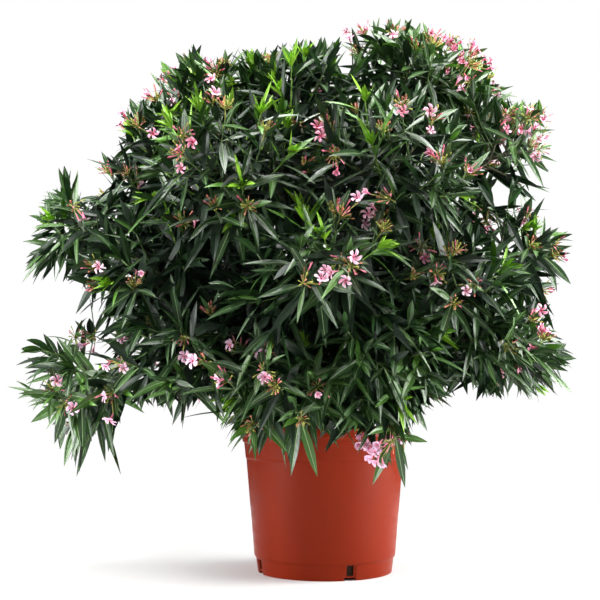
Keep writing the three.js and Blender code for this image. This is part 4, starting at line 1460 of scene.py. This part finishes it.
# ---- Studio ----
# place, point it faces, size and watts of each soft light
LIGHTS = {
    "left_box": ((-2.7, -0.45, 1.45), (0, 0, 0.75), (1.5, 2.4), 140),
    "right_box": ((2.6, 0.05, 1.35), (0, 0, 0.75), (1.4, 2.4), 190),
    "top_box": ((0, -0.6, 3.7), (0, 0, 1.0), (2.2, 1.8), 245),
    "low_left_box": ((-2.8, -1.5, 0.45), (0, 0, 0.45), (1.0, 0.8), 76),
    "low_right_box": ((2.9, -1.2, 0.45), (0, 0, 0.45), (1.0, 0.8), 110),
    "front_box": ((0.3, -4.2, 1.5), (0, 0, 0.7), (2.4, 1.2), 17),
}
WORLD_STRENGTH = 0.10
STAGE_RADIUS = 13.0
STAGE_HEIGHT = 12.0
STAGE_BEND = 3.0
STAGE_SIDES = 96
NEAR_AXIS = 0.001
LIT_RADIUS, PALE_RADIUS = 0.9, 2.6  # the floor shows the plant's shadow in the first, none past the second
BOUNCE_RADIUS = 1.5  # the floor throws light back as far out as this
FLOOR_GREY = 0.80
PALE = 1.0


def area_light(name, place, target, size, power):
    data = bpy.data.lights.new(name, "AREA")
    data.shape = "RECTANGLE"
    data.size, data.size_y = size
    data.energy = power
    light = put_in_scene(name, data)
    light.visible_camera = False
    light.location = place
    way = unit(np.array(target) - np.array(place))
    light.rotation_euler = (math.acos(-way[2]), 0, math.atan2(-way[0], way[1]))


def stage_material():
    """A pale floor that the lights and shadows fall on near the plant, and plain pale further out."""
    finish = Finish("backdrop", 0.9, 0.1)
    finish.shader.inputs["Base Color"].default_value = (FLOOR_GREY, FLOOR_GREY, FLOOR_GREY, 1)
    length = finish.add("VectorMath")
    length.operation = "LENGTH"
    share = finish.add("MapRange")
    share.interpolation_type = "SMOOTHSTEP"
    share.inputs["From Min"].default_value = LIT_RADIUS
    share.inputs["From Max"].default_value = PALE_RADIUS
    glow = finish.add("Emission", Color=(PALE, PALE, PALE, 1))
    mix = finish.add("MixShader")
    finish.link(finish.add("TexCoord").outputs["Object"], length.inputs[0])
    finish.link(length.outputs["Value"], share.inputs["Value"])
    finish.link(share.outputs["Result"], mix.inputs["Fac"])
    finish.link(finish.shader.outputs["BSDF"], mix.inputs[1])
    finish.link(glow.outputs["Emission"], mix.inputs[2])
    finish.link(mix.outputs["Shader"], finish.nodes["Material Output"].inputs["Surface"])
    return finish.material


def ring_surface(name, profile, material):
    """A surface that a profile of (radius, height) makes as it turns."""
    points = np.concatenate([circle(radius, height, STAGE_SIDES) for radius, height in profile])
    mesh = bpy.data.meshes.new(name)
    mesh.from_pydata(points.tolist(), [], grid_faces(len(profile), STAGE_SIDES, closed=True))
    mesh.materials.append(material)
    surface = put_in_scene(name, mesh)
    return surface


def make_stage():
    """A round floor, and round it a wall far enough out to stand behind every view."""
    material = stage_material()
    ring_surface("floor", [(NEAR_AXIS, 0), (LIT_RADIUS, 0), (BOUNCE_RADIUS, 0)], material)
    start = STAGE_RADIUS - STAGE_BEND
    profile = [(BOUNCE_RADIUS, 0), (PALE_RADIUS, 0), (start, 0)]
    for a in np.linspace(0, math.pi / 2, 10)[1:]:
        profile.append((start + STAGE_BEND * math.sin(a), STAGE_BEND - STAGE_BEND * math.cos(a)))
    profile += [(STAGE_RADIUS, STAGE_HEIGHT), (NEAR_AXIS, STAGE_HEIGHT)]
    backdrop = ring_surface("backdrop", profile, material)
    backdrop.visible_diffuse = False
    backdrop.visible_glossy = False
    backdrop.visible_shadow = False


def make_studio():
    make_stage()
    for name, light in LIGHTS.items():
        area_light(name, *light)
    world = bpy.data.worlds.new("studio")
    world.use_nodes = True
    background = world.node_tree.nodes["Background"]
    background.inputs["Color"].default_value = (1, 1, 1, 1)
    background.inputs["Strength"].default_value = WORLD_STRENGTH
    bpy.context.scene.world = world
    bpy.context.scene.view_settings.view_transform = "Standard"


make_camera()
make_leaves()
make_twigs()
make_limb_pieces()
make_blossom()
make_pot()
make_soil()
make_studio()

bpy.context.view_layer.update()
{piece.name: len(piece.data.polygons) for piece in bpy.data.objects if piece.type == "MESH"}
